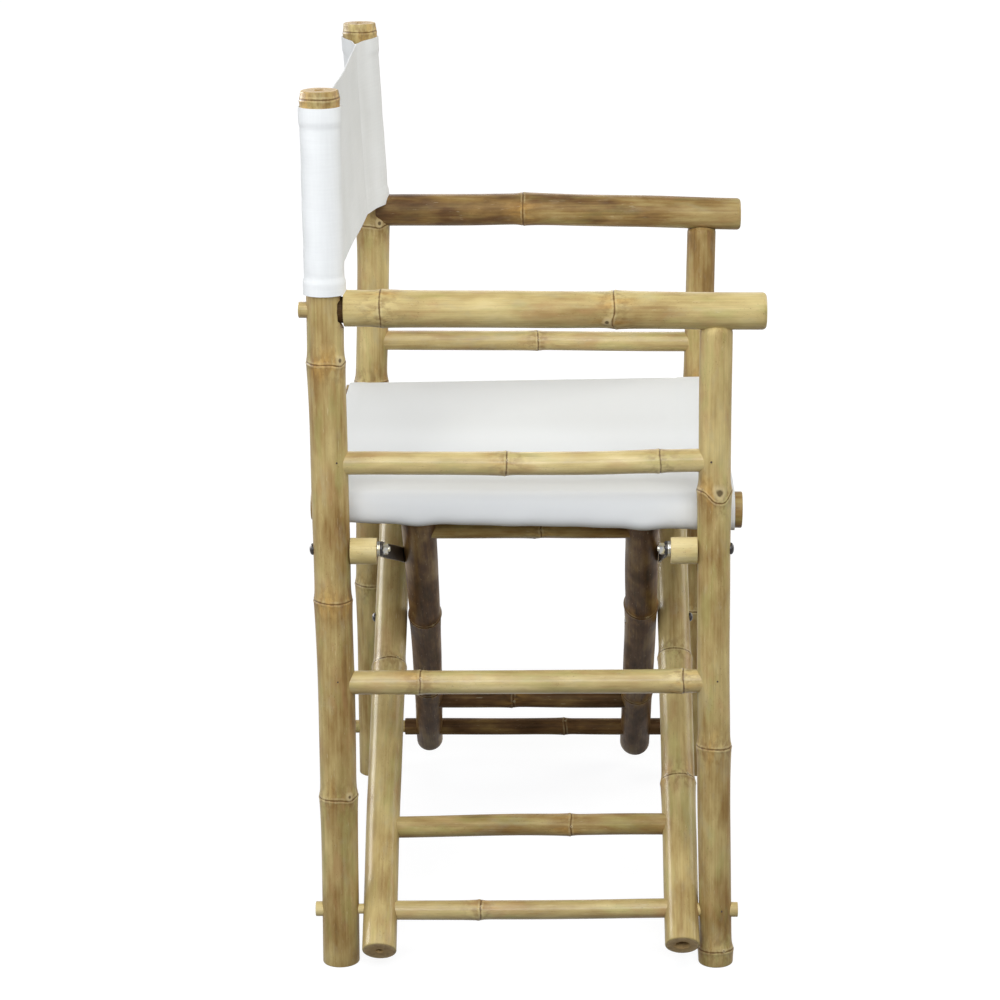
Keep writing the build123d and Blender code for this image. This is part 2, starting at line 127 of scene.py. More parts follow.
def lacquered_bamboo(name, coat, shine):
    """Bamboo skin, singed, rubbed down and lacquered: mottled straw and olive with long fibres, smoky
    spots and brown rings at the knots, under a thin clear coat with a narrow shine."""
    m = emptied(bpy.data.materials.new(name))
    grain, around_bud = (add(m, "Attribute", {}, attribute_name=kept).outputs["Vector"]
                         for kept in ("grain", "around_bud"))
    from_scar, tone = (add(m, "Attribute", {}, attribute_name=kept).outputs["Fac"]
                       for kept in ("from_scar", "tone"))

    # Millimetres across and along the pole, then detail and roughness, of each pattern. Real fibres
    # are about 0.4 mm wide, and are drawn at twice that so that they show.
    pattern = {}
    for kind, across, along, detail, rough in (
            ("fibres", 0.8, 40, 2, 0.5), ("streaks", 2.6, 110, 3, 0.55), ("mottle", 8, 30, 4, 0.6),
            ("clouds", 26, 70, 2, 0.5), ("greens", 14, 55, 3, 0.55), ("roses", 17, 42, 3, 0.55),
            ("greys", 12, 30, 4, 0.6), ("flecks", 1.3, 2.6, 4, 0.65), ("patches", 20, 60, 1, 0.5),
            ("nicks", 0.9, 12, 2, 0.5), ("smoke", 5, 9, 4, 0.55), ("breaks", 4, 4, 3, 0.5)):
        at = add(m, "VectorMath", {0: grain, 1: (1 / across, 1 / across, 1 / along)},
                 operation="MULTIPLY")
        pattern[kind] = add(m, "TexNoise", {"Vector": at, "Scale": 1.0, "Detail": detail,
                                            "Roughness": rough})
    shade = tone
    for kind, strength in (("streaks", 0.1), ("mottle", 0.13), ("clouds", 0.24)):
        shift = add(m, "MapRange", {"Value": pattern[kind], "From Min": 0.25, "From Max": 0.75,
                                    "To Min": -strength, "To Max": strength})
        shade = add(m, "Math", {0: shade, 1: shift}, operation="ADD")
    shade = add(m, "Math", {0: shade, 1: 0.8}, operation="MULTIPLY")
    colour = add(m, "ValToRGB", {"Fac": shade}, stops=(
        (0.0, "#DDCB96"), (0.2, "#CDB97F"), (0.4, "#B59E68"), (0.6, "#927444"), (0.8, "#664A2E"),
        (1.0, "#3A2918")))

    # Smoke from the flame lies in clouds about a knot, and in flecks along the pole. The scar of the
    #     sheath is a thin uneven line with paler rims, and the bud a dark pit in a pale boss. The pit's
    #     near-black is partly the bud's own brown and partly painted shade in its hollow.
    near_knot = add(m, "MapRange", {"Value": from_scar, "From Max": 26.0, "To Min": 1.0,
                                    "To Max": 0.0})
    jitter = add(m, "MapRange", {"Value": pattern["breaks"], "To Min": 0.9, "To Max": -0.5})
    scar = add(m, "Math", {0: from_scar, 1: jitter}, operation="ADD")
    rim = add(m, "Math", {0: add(m, "Math", {0: scar, 1: 2.0}, operation="SUBTRACT")},
              operation="ABSOLUTE")
    from_bud = add(m, "VectorMath", {0: around_bud}, operation="LENGTH").outputs["Value"]
    swirl = add(m, "MapRange", {"Value": pattern["smoke"], "To Min": -0.9, "To Max": 0.9})
    pale = add(m, "MapRange", {"Value": tone, "From Min": 0.6, "From Max": 0.95, "To Min": 1.0,
                               "To Max": 0.12})
    from_bud = add(m, "Math", {0: from_bud, 1: swirl}, operation="ADD")
    colour = tinted(m, colour, (
        (pattern["greens"], 0.5, 0.7, 0.4, "#A6A362", pale),
        (pattern["roses"], 0.52, 0.72, 0.36, "#B48A5E", pale),
        (pattern["greys"], 0.52, 0.72, 0.26, "#ABA285", pale),
        (pattern["fibres"], 0.6, 0.3, 0.11, "#6E5631", None),
        (pattern["greens"], 0.48, 0.36, 0.5, "#C99B50", near_knot),
        (pattern["smoke"], 0.42, 0.62, 0.55, "#7A5833", near_knot),
        (pattern["flecks"], 0.6, 0.7, 0.55, "#6B4E2C", (pattern["patches"], 0.42, 0.6)),
        (pattern["nicks"], 0.68, 0.76, 0.4, "#E2D5AE", None),
        (rim, 1.3, 0.4, 0.28, "#DCCB9B", (pattern["greys"], 0.35, 0.6)),
        (scar, 1.25, 0.4, 0.8, "#553B20", None),
        (from_bud, 4.6, 2.2, 0.45, "#D8C79B", None),
        # the bud's pit: painted shade in its hollow, over the bud's own brown
        (from_bud, 1.9, 0.9, 0.8, "#3A2816", None)))

    gloss = add(m, "MapRange", {"Value": pattern["clouds"], "From Min": 0.3, "From Max": 0.7,
                                "To Min": 0.34, "To Max": 0.5})
    relief = add(m, "Math", {0: pattern["streaks"], 1: pattern["mottle"]}, operation="ADD")
    relief = add(m, "Math", {0: pattern["fibres"], 1: relief}, operation="ADD")
    bump = add(m, "Bump", {"Height": relief, "Distance": 0.12 * MM, "Strength": 0.5})
    return surfaced(m, {"Base Color": colour, "Roughness": gloss, "Normal": bump,
                        "Specular IOR Level": shine, "Coat Weight": coat, "Coat Roughness": 0.2})


def sawn_bamboo():
    """Sawn bamboo under the same lacquer: a dark skin, a pale wall dotted with the ends of the fibre
    bundles and a browner middle. The bundles are 0.8 mm apart, drawn at 1.1 mm so that they show."""
    m = emptied(bpy.data.materials.new("sawn_bamboo"))
    grain = add(m, "Attribute", {}, attribute_name="grain").outputs["Vector"]
    depth = add(m, "Attribute", {}, attribute_name="depth_from_skin").outputs["Fac"]
    scaled = add(m, "VectorMath", {0: grain, 1: (1.0, 1.0, 0.12)}, operation="MULTIPLY")
    bundles = add(m, "TexVoronoi", {"Vector": scaled, "Scale": 0.9, "Randomness": 0.85})
    stains = add(m, "TexNoise", {"Vector": scaled, "Scale": 0.16, "Detail": 4.0})
    wall = add(m, "MapRange", {"Value": depth, "From Max": 12.0})
    colour = add(m, "ValToRGB", {"Fac": wall}, stops=(
        (0.03, "#80633D"), (0.09, "#DCC498"), (0.2, "#C9AD7D"), (0.75, "#B0925F")))
    colour = tinted(m, colour, ((bundles, 0.4, 0.15, 0.35, "#6A4E2E", None),
                                (stains, 0.48, 0.66, 0.4, "#7C5F3C", None)))
    bump = add(m, "Bump", {"Height": bundles, "Distance": 0.2 * MM, "Strength": 0.5})
    return surfaced(m, {"Base Color": colour, "Roughness": 0.6, "Normal": bump,
                        "Specular IOR Level": 0.25})


glossy_skin = lacquered_bamboo("lacquered_bamboo", 0.36, 0.12)
satin_skin = lacquered_bamboo("satin_bamboo", 0.2, 0.04)
rubbed_skin = lacquered_bamboo("rubbed_bamboo", 0.0, 0.12)      # handled and worn nearly matt
dull_skin = lacquered_bamboo("unpolished_bamboo", 0.0, 0.03)    # under the seat, hardly any lacquer
sawn_face = sawn_bamboo()


def turned(angle):
    """An angle brought between minus pi and pi."""
    return (angle + math.pi) % (2 * math.pi) - math.pi


def scar_height(knot, angle):
    """A scar runs round its culm in a slight wave and dips under the bud, far under a large one."""
    wave = 0.5 * np.sin(angle + knot["phase"]) + 0.3 * np.sin(3 * angle + 2 * knot["phase"])
    dip = 1.4 * knot["bud_size"] ** 2.4
    from_bud = np.abs(turned(angle - knot["bud"])) / (0.3 * knot["bud_size"])
    return knot["height"] + wave - dip * np.exp(-from_bud ** (2 if knot["bud_size"] < 1.5 else 3))


def read_skin(form, height, angle):
    """Radius of a culm's skin, distance from the nearest scar and the place beside its bud, in mm."""
    radius = form["radius"] * (1 + form["taper"] * (height / form["length"] - 0.5))
    radius = radius * (1 + 0.007 * np.cos(2 * angle + form["phase"]))
    radius = radius + 0.09 * np.sin(height / 21 + angle + form["phase"])
    radius = radius + 0.07 * np.sin(height / 37 - 2 * angle + 3 * form["phase"])
    size = form["radius"] / 18
    from_scar = np.full_like(radius, 999.0)
    place = np.full(radius.shape + (3,), 99.0)
    for knot in form["knots"]:
        off_bud = turned(angle - knot["bud"]) * form["radius"]
        lift = (height - scar_height(knot, angle)) * form["growth"]
        # The culm swells under the knot and falls in quickly over it. The scar is a fine groove with
        # a ridge under it.
        up = np.clip(lift, 0, None)
        down = np.clip(-lift, 0, None)
        neck = 1.3 * np.exp(-up / (4.5 * size)) - 0.3 * np.exp(-up / (40 * size))
        radius = radius + knot["rise"] * np.where(lift > 0, neck, np.exp(-down / (20 * size)))
        radius = radius - 0.45 * np.exp(-(lift / 0.8) ** 2) + 0.3 * np.exp(-((lift + 1.8) / 1.0) ** 2)
        # The bud is a boss with a pit, a large one also has a rim, and a groove runs up the culm above.
        bud = size * knot["bud_size"]
        beside_bud, over_bud = off_bud / bud, 0.9 * (lift - 3.6 * size * knot["bud_size"] ** 1.4) / bud
        away = np.hypot(beside_bud, over_bud)
        groove = np.exp(-(off_bud / (5 * size)) ** 2 - up / 60) * np.clip((up / bud - 6) / 8, 0, 1)
        radius = radius + bud * np.exp(-(away / 3.4) ** 2) - 0.6 * size * groove
        radius = radius - 0.8 * (bud - 0.6 * size) * np.exp(-(away / 1.2) ** 2)
        radius = radius + 0.6 * (bud - size) * np.exp(-((away - 3.2) / 0.5) ** 2)
        nearer = np.abs(lift) < from_scar
        from_scar = np.where(nearer, np.abs(lift), from_scar)
        here = np.stack([beside_bud + 0 * lift, over_bud, 0 * lift], -1)
        place = np.where(nearer[..., None], here, place)
    return radius, from_scar, place


def bent_by(bends, share):
    """The bend at a share of a culm's length, from pairs of share and mm, with the corners eased."""
    shares, offsets = zip(*bends)
    return sum(np.interp(share + step, shares, offsets) for step in (-0.05, -0.025, 0, 0.025, 0.05)) / 5


def bent_axis(form, height):
    """Where a culm's axis runs: its bends, and a slight kink at each knot."""
    share = np.clip(height / form["length"], 0, 1)
    hold = np.sin(math.pi * share)
    bend = bent_by(form["bends"], share)
    x, y = bend * form["bend_way"][0], bend * form["bend_way"][1]
    for knot in form["knots"]:
        near = np.exp(-((height - knot["height"]) / 45) ** 2) * hold
        x = x + 0.8 * math.cos(knot["phase"]) * near
        y = y + 0.8 * math.sin(knot["phase"]) * near
    return x, y


def row_heights(form, edges):
    """Heights of the rings of points: close together at the ends and at the knots."""
    length = form["length"]
    rows = list(np.linspace(0, length, max(3, int(length / 12))))
    for knot in form["knots"]:
        for step in (0.6, 1.2, 1.9, 2.8, 4, 5.5, 7.5, 10, 14, 20, 30):
            rows += [knot["height"] + step, knot["height"] - step]
        rows.append(knot["height"])
    rows = sorted(row for row in rows if edges[0] + 1.5 < row < length - edges[1] - 1.5)
    kept = rows[:1]
    for row in rows[1:]:
        if row - kept[-1] > 0.45:
            kept.append(row)
    return kept


def hoop_faces(rows, around):
    """The faces between rings of points that follow one another."""
    return [(row * around + step, row * around + (step + 1) % around,
             (row + 1) * around + (step + 1) % around, (row + 1) * around + step)
            for row in range(rows - 1) for step in range(around)]


def culm_mesh(form, edges, hollows, around):
    """The points and faces of a closed culm along Z, in mm, and which faces are sawn. Each end has an
    edge rounded by hand, a flat and, if it is hollow, the start of the bore."""
    angle = np.arange(around) * 2 * math.pi / around
    flats, rounds = [], []
    for end, (edge, hollow) in enumerate(zip(edges, hollows)):
        base, way = form["length"] * end, 1 - 2 * end
        turns = [(math.pi / 2) * step / 4 for step in range(4, -1, -1)]
        rounds.append([(base + way * edge * (1 - math.sin(turn)), edge * (1 - math.cos(turn)))
                       for turn in turns])
        bare = form["radius"] - edge
        flats.append([(base, bare * 0.6 + hollow * 0.4), (base + way * 0.2, hollow * 1.15),
                      (base + way * 1.2, hollow), (base + way * 18, hollow * 0.8)] if hollow
                     else [(base, bare * 0.5)])

    def ring(heights, radius):
        x, y = bent_axis(form, heights)
        return np.stack([x + radius * np.cos(angle), y + radius * np.sin(angle), heights], 1)

    def skin_ring(height, inset):
        """A ring on the skin, which follows the wave of the scars near it."""
        near = np.full(around, float(height))
        for knot in form["knots"]:
            share = math.exp(-((height - knot["height"]) / (12 * knot["bud_size"] ** 0.6)) ** 2)
            near = near + (scar_height(knot, angle) - knot["height"]) * share
        return ring(near, read_skin(form, near, angle)[0] - inset)

    def face_ring(height, radius):
        return ring(np.full(around, float(height)), radius)

    points = [face_ring(*place) for place in reversed(flats[0])]
    points += [skin_ring(*place) for place in rounds[0]]
    points += [skin_ring(height, 0) for height in row_heights(form, edges)]
    points += [skin_ring(*place) for place in reversed(rounds[1])]
    points += [face_ring(*place) for place in flats[1]]
    count = len(points)
    sawn = set(range(len(flats[0]))) | set(range(count - len(flats[1]) - 1, count - 1))
    faces = hoop_faces(count, around)
    cut = [row in sawn for row in range(count - 1) for _ in range(around)]
    middles = [points[0].mean(0), points[-1].mean(0)]
    points = np.concatenate(points + [np.array(middles)])
    for step in range(around):
        after = (step + 1) % around
        faces.append((after, step, count * around))
        faces.append(((count - 1) * around + step, (count - 1) * around + after, count * around + 1))
        cut += [True, True]
    return points, faces, cut


crease = math.radians(38)      # faces that meet at more than this keep their edge


def new_piece(name, points, faces, materials, smooth=crease):
    """A mesh object, in metres, shaded smooth but for its sharp edges."""
    mesh = bpy.data.meshes.new(name)
    mesh.from_pydata([tuple(p) for p in points], [], faces)
    for material in materials:
        mesh.materials.append(material)
    mesh.polygons.foreach_set("use_smooth", [True] * len(mesh.polygons))
    mesh.set_sharp_from_angle(angle=smooth)
    piece = bpy.data.objects.new(name, mesh)
    bpy.context.scene.collection.objects.link(piece)
    return piece


def turned_solid(name, start, way, profile, material, flats=0, around=36):
    """A solid turned about an axis, from pairs of distance and radius in mm. With flats, its sides are
    also cut to six faces that far from the axis."""
    angle = np.arange(around) * 2 * math.pi / around
    across = flats / np.cos((angle + math.pi / 6) % (math.pi / 3) - math.pi / 6) if flats else 1e9
    rings = []
    for distance, radius in profile:
        reach = np.minimum(radius, across)
        rings.append(np.stack([reach * np.cos(angle), reach * np.sin(angle),
                               np.full(around, float(distance))], 1))
    rows = len(rings)
    faces = hoop_faces(rows, around)
    faces += [tuple(range(around - 1, -1, -1)), tuple(range((rows - 1) * around, rows * around))]
    piece = new_piece(name, np.concatenate(rings) * MM, faces, [material], smooth=math.radians(32))
    piece.matrix_world = Matrix.Translation(start) @ way.to_track_quat("Z", "Y").to_matrix().to_4x4()
    return piece


def settled(piece):
    """A piece's mesh, once its modifiers are made part of it."""
    bpy.context.view_layer.update()
    graph = bpy.context.evaluated_depsgraph_get()
    mesh = bpy.data.meshes.new_from_object(piece.evaluated_get(graph))
    piece.modifiers.clear()
    piece.data = mesh
    return mesh


def bored_by(piece, bores):
    """Cuts round holes, each given by two points in metres and a radius in mm. The new faces are
    sawn."""
    tools = []
    for start, end, radius in bores:
        way = end - start
        tool = turned_solid("bore", start, way, [(0, radius), (way.length / MM, radius)], sawn_face,
                            around=72)
        cut = piece.modifiers.new("bore", "BOOLEAN")
        cut.operation, cut.solver, cut.material_mode = "DIFFERENCE", "EXACT", "TRANSFER"
        cut.object = tool
        tools.append(tool)
    settled(piece).set_sharp_from_angle(angle=crease)
    for tool in tools:
        bpy.data.objects.remove(tool)


stance = {}


def beside(name, height):
    """How far back a standing culm's axis is at a height."""
    foot, tip, bends = stance[name]
    share = (height - foot.z) / (tip.z - foot.z)
    return foot.y + (tip.y - foot.y) * share + bent_by(bends, share) * MM


def culm(name, body, foot, tip, radius, knots, seed, tone, growth=1, rise=1.3, taper=0.0,
         bends=((0, 0), (1, 0)), edges=(0.8, 0.8), hollows=(3.0, 3.0), bores=(), bud=0.0,
         bud_sizes=None, around=48, skin=glossy_skin):
    """One bamboo pole from foot to tip, which stands for the CAD node of its name. Lengths in mm. tone
    runs from pale straw, 0, to smoked brown, 1, and may differ between foot and tip; on the pieces in
    shade under the seat a dark tone is painted shade, and on the outer top rung a pale one is painted
    light. bends holds pairs of share and mm, by which a standing pole leaves its line towards the back
    and a lying one upwards."""
    chance = random.Random(seed)
    axis = tip - foot
    length = axis.length / MM
    along = axis.normalized()
    up = Vector((1, 0, 0)) if abs(along.z) > 0.95 else Vector((0, 0, 1))
    out = (up - up.dot(along) * along).normalized()
    turn = Matrix((out, along.cross(out), along)).transposed()
    bend_way = (1, 0) if abs(along.z) < 0.5 else (0, round(along.cross(out).y))
    stance[name] = (foot, tip, bends)
    form = {"radius": radius, "length": length, "growth": growth, "taper": taper, "bends": bends,
            "bend_way": bend_way, "phase": chance.uniform(0, 6.28), "knots": []}
    for count, share in enumerate(knots):      # the buds of a culm stand by turns on its two sides
        form["knots"].append({
            "height": share * length, "bud": bud + math.pi * count + chance.uniform(-0.3, 0.3),
            "phase": chance.uniform(0, 6.28), "rise": rise * chance.uniform(0.85, 1.15),
            "bud_size": bud_sizes[count] if bud_sizes else 0.55})
    points, faces, cut = culm_mesh(form, edges, hollows, around)
    piece = new_piece(name, points * MM, faces, [skin, sawn_face])
    piece.data.polygons.foreach_set("material_index", [int(c) for c in cut])
    piece.matrix_world = Matrix.Translation(foot) @ turn.to_4x4()
    if bores:
        bored_by(piece, bores)
    paint_grain(piece, form, seed, tone)
    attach(piece, body)
    return piece


def paint_grain(piece, form, seed, tone):
    """Gives each point of a culm its place in the grain, for the bamboo's pattern."""
    mesh = piece.data
    co = np.zeros(len(mesh.vertices) * 3)
    mesh.vertices.foreach_get("co", co)
    co = co.reshape(-1, 3) / MM
    x, y = bent_axis(form, co[:, 2])
    angle = np.arctan2(co[:, 1] - y, co[:, 0] - x)
    radius, from_scar, around_bud = read_skin(form, co[:, 2], angle)
    depth = np.clip(radius - np.hypot(co[:, 0] - x, co[:, 1] - y), 0, None)
    ends = tone if isinstance(tone, tuple) else (tone, tone)
    tones = np.interp(co[:, 2] / form["length"], (0, 1), ends)
    own_place = np.array([37.0, 53.0, 211.0]) * seed
    for name, kind, field, values in (
            ("grain", "FLOAT_VECTOR", "vector", co + own_place),
            ("from_scar", "FLOAT", "value", from_scar),
            ("around_bud", "FLOAT_VECTOR", "vector", around_bud),
            ("depth_from_skin", "FLOAT", "value", depth), ("tone", "FLOAT", "value", tones)):
        attribute = mesh.attributes.get(name) or mesh.attributes.new(name, kind, "POINT")
        attribute.data.foreach_set(field, values.astype(np.float32).ravel())


def middle(node):
    """The centre of a CAD node's box."""
    low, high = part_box(node)
    return (low + high) / 2


def at_height(point, z):
    """A point moved to another height."""
    return Vector((point.x, point.y, z))


def at_depths(point, *depths):
    """A point moved to each of some places along the chair's depth."""
    return [Vector((point.x, y, point.z)) for y in depths]


post_radius = 18.0
arm_radius = 17.5
frame_body = {RIGHT: "right_side_frame", LEFT: "left_side_frame"}
both_ends = (("back", 1), ("front", -1))      # and which way the chair's outside lies there
arm_axis = {side: middle(side + "_armrest_peg") for side in (RIGHT, LEFT)}
seat_of_arm = 5.2          # how deep the armrest's seat is bored into the back post
drill_start = 30.0         # how far in front of the post the bore's tool begins
back_knots = {RIGHT: (0.204, 0.435, 0.706, 0.992), LEFT: (0.266, 0.54, 0.745, 0.99)}
back_tone = {RIGHT: (0.6, 0.54), LEFT: (0.58, 0.46)}
back_bends = {RIGHT: ((0, 0), (0.12, -1.5), (0.3, -2.2), (0.5, -0.8), (1, 0)),
              LEFT: ((0, 1.5), (0.3, 0.5), (0.5, -3.5), (0.74, -9.5), (1, 2))}
for side, seed in ((RIGHT, 3), (LEFT, 8)):
    node = side + "_back_post"
    low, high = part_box(node)
    axis = middle(node)
    face = axis.y - post_radius * MM
    seats = []
    if side == RIGHT:      # the left armrest butts against its post instead
        start = Vector((axis.x, face - drill_start * MM, arm_axis[side].z))
        seats = [(start, start + Vector((0, (drill_start + deep) * MM, 0)), wide) for deep, wide in (
            (seat_of_arm - 2.4, arm_radius + 0.4), (seat_of_arm, arm_radius - 3.0))]
    post = culm(node, frame_body[side], at_height(axis, low.z), at_height(axis, high.z), post_radius,
                back_knots[side], seed, back_tone[side], rise=1.4, taper=-0.03, bends=back_bends[side],
                bud=3.8, bud_sizes=(1.1, 0.6, 1.3, 0.3), edges=(1.0, 1.2), hollows=(5, 4.5), bores=seats,
                around=64, skin=rubbed_skin)
    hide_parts(node)


# ---------------------------------------------------------------- front posts
# Two culms like the back ones, cut short under the armrest. The top is rounded and hollowed with a
# file to sit against it, and the foot is sawn just under a knot, so it flares.
front_knots = {RIGHT: (0.025, 0.353, 0.752), LEFT: (0.31, 0.72)}
front_buds = {RIGHT: (0.6, 0.7, 2.3), LEFT: (0.6, 0.8)}
front_tone = {RIGHT: (0.6, 0.42), LEFT: (0.62, 0.66)}
front_radius = {RIGHT: 15.9, LEFT: 16.2}
front_bends = {RIGHT: ((0, -2.6), (0.08, -1.6), (0.25, 0.8), (0.5, 2.8), (0.75, 3.5), (1, 3.0)),
               LEFT: ((0, 0), (0.55, 2), (1, -3))}
arm_bends = {RIGHT: ((0, 1.5), (1, -2.8)), LEFT: ((0, 0), (0.45, -0.3), (0.75, -2.8), (1, -6.5))}
ear_drop = 12.0            # the filed top rises to this far under the armrest's axis
file_reach = 60.0
post_share = 0.88          # how much of the armrest's bend it has where the post meets it
for side, seed in ((RIGHT, 5), (LEFT, 12)):
    node = side + "_front_post"
    low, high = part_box(node)
    axis = middle(node)
    arm_z = arm_axis[side].z + arm_bends[side][-1][1] * post_share * MM
    foot, tip = at_height(axis, low.z), at_height(axis, arm_z - ear_drop * MM)
    saddle = [Vector((axis.x, axis.y + way * file_reach * MM, arm_z)) for way in (1, -1)]
    post = culm(node, frame_body[side], foot, tip, front_radius[side], front_knots[side], seed,
                front_tone[side], rise=1.6, taper=-0.05, bends=front_bends[side], bud=3.45,
                bud_sizes=front_buds[side], edges=(1.4, 8.5), hollows=(4, 0),
                bores=[(*saddle, arm_radius + 0.15)], around=64, skin=rubbed_skin)
    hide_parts(node)


# ---------------------------------------------------------------- armrests
# A culm each, rubbed smooth. The right one's back end is cut to a neck, which sits in the post's
# seat, and the left one's is butted. The front end runs out past the front post and is rounded.
arm_knots = {RIGHT: (0.088, 0.64), LEFT: (0.403,)}
arm_tone = {RIGHT: (0.36, 0.4), LEFT: (0.95, 0.62)}
arm_buds = {RIGHT: (0.5, 1.25), LEFT: (0.5,)}
arm_sunk = {RIGHT: 0.2, LEFT: 13.0}   # the right armrest's end stops short of its seat
arm_short = {RIGHT: 1.8, LEFT: 0.0}
for side, seed in ((RIGHT, 21), (LEFT, 22)):
    node = side + "_armrest"
    low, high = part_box(node)
    post_y = beside(side + "_back_post", arm_axis[side].z) - post_radius * MM
    ends = at_depths(arm_axis[side], post_y + arm_sunk[side] * MM, low.y + arm_short[side] * MM)
    arm = culm(node, frame_body[side], *ends, arm_radius, arm_knots[side], seed, arm_tone[side],
               growth=-1, rise=1.1, bends=arm_bends[side], bud=-0.9, bud_sizes=arm_buds[side],
               edges=(1.0, 4.2), hollows=(0, 4.5), around=64, skin=rubbed_skin)
    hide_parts(node)
    if side == RIGHT:
        # The neck is painted near-black, tone 1.5, as painted shade in the narrow gap between the
        # armrest's end and its seat.
        neck = at_depths(arm_axis[side], post_y + (seat_of_arm + 1) * MM, post_y)
        culm(node + "_neck", frame_body[side], *neck, arm_radius - 5, (), seed + 2, 1.5,
             hollows=(0, 0), around=40, skin=dull_skin)


# ---------------------------------------------------------------- rails of the side frames
# Thin culms tenoned between the posts. Their ends are hollowed to the posts' round, so they meet
# without a gap.
tenon = 8.0                # how far from the post's axis a rail's skin ends


def between(uprights, axis):
    """The ends of a pole that is tenoned between the back and the front one of two uprights."""
    return at_depths(axis, *(beside(uprights.format(end), axis.z) - way * tenon * MM
                             for end, way in both_ends))


# The left lower rail's dark tone, 0.72, is painted shade from the seat above it.
rails = (
    ("mid_rail", 11.2, {RIGHT: (0.46, 0.876), LEFT: (0.509,)}, {RIGHT: (0.34, 0.3), LEFT: 0.4}, 31,
     {RIGHT: ((0, 0), (0.7, -0.6), (1, 2.4)), LEFT: ((0, 1.5), (1, -1.5))}),
    ("lower_rail", 11.7, {RIGHT: (0.212, 0.94), LEFT: (0.512,)}, {RIGHT: 0.36, LEFT: 0.72}, 41,
     {RIGHT: ((0, -2.2), (0.6, -1.5), (1, -0.5)), LEFT: ((0, 0), (1, 0))}),
)
for name, radius, knots, tones, seed, bends in rails:
    for side in (RIGHT, LEFT):
        node = f"{side}_{name}"
        seed += 1
        rail = culm(node, frame_body[side], *between(side + "_{}_post", middle(node)), radius,
                    knots[side], seed, tones[side], rise=0.9, bends=bends[side], bud=1.2,
                    hollows=(0, 0), around=40)
        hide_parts(node)


# ---------------------------------------------------------------- armrest pegs
# A turned dowel of pale wood holds each armrest to its post, and its chamfered end shows behind.
peg_radius = 7.9
for side, seed in ((RIGHT, 61), (LEFT, 62)):
    node = side + "_armrest_peg"
    low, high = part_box(node)
    peg = culm(node, frame_body[side], *at_depths(arm_axis[side], low.y, high.y), peg_radius, (), seed,
               0.45, edges=(0.8, 1.2), hollows=(0, 0), around=36)
    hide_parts(node)


# ---------------------------------------------------------------- crossed legs
# Four culms, two to a frame. Each turns on a foot rod near its lower end, is bolted to its partner
# at the crossing, and is tenoned into a seat rail at the top. None is quite straight.
crossing = pivot["crossing_turn"]
leg_frames = (
    ("outer", pivot["fold"], "left_seat_rail", "outer_leg_frame"),
    ("inner", pivot["left_rod_turn"], "right_seat_rail", "inner_leg_frame"),
)
# For each leg: radius, taper, knots, tone, bore of the pith, reach beyond the rod, and its bends.
legs = {
    "outer_back_leg": (17.0, 0.0, (0.49,), (0.46, 0.44), 3.4, 47, ((0, -5.4), (0.2, -3.4), (1, -3))),
    "outer_front_leg": (17.2, -0.02, (0.276, 0.502), (0.42, 0.52), 6.8, 40,
                        ((0, -4.0), (0.35, -3.2), (0.55, -2.0), (1, -1.4))),
    # The inner legs' near-black tone is painted shade: they are seen from beneath, in the shade of the
    # seat.
    "inner_back_leg": (16.2, 0.14, (0.28, 0.6), 0.95, 3, 44,
                       ((0, 8.5), (0.2, 2.6), (0.57, -5.6), (1, -12.5))),
    "inner_front_leg": (17.0, -0.03, (0.26, 0.64), 0.96, 3, 53, ((0, 0), (0.5, -1), (1, 1.5)))}
counterbore = 7.5          # the nuts of the crossing bolts are let into the inner legs this deep
nut_bore = 7.9             # and this wide
leg_tenon = 8.0            # how far under the seat rail's axis a leg's skin ends
seed = 70
for frame_name, rod_axis, rail, body in leg_frames:
    slope = Vector((crossing.x - rod_axis.x, 0, crossing.z - rod_axis.z)).normalized()
    for end, way in both_ends:
        node = f"{frame_name}_{end}_leg"
        radius, taper, knots, tone, pith, reach, bends = legs[node]
        offset = middle(node).y
        foot = Vector((rod_axis.x, offset, rod_axis.z)) - slope * reach * MM
        tip = Vector((middle(rail).x, offset, middle(rail).z)) - slope * leg_tenon * MM
        stance[node] = (foot, tip, bends)
        flank = beside(node, crossing.z) - way * radius * MM
        hole = at_depths(crossing, flank - way * 20 * MM, flank + way * counterbore * MM) + [nut_bore]
        seed += 1
        leg = culm(node, body, foot, tip, radius, knots, seed, tone, rise=1.4, edges=(1.6, 1.0),
                   taper=taper, hollows=(pith, 0), bud=0.5, around=56, bends=bends,
                   bores=[hole] if frame_name == "inner" else (),
                   skin=dull_skin if frame_name == "inner" else satin_skin)
        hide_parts(node)


# ---------------------------------------------------------------- foot rods
# The legs turn on these. Each is a thin culm whittled down at both ends to a dowel, which goes
# through the post and shows a few millimetres outside it.
rod_radius = 9.6
rod_knots = {RIGHT: (0.34,), LEFT: (0.6,)}
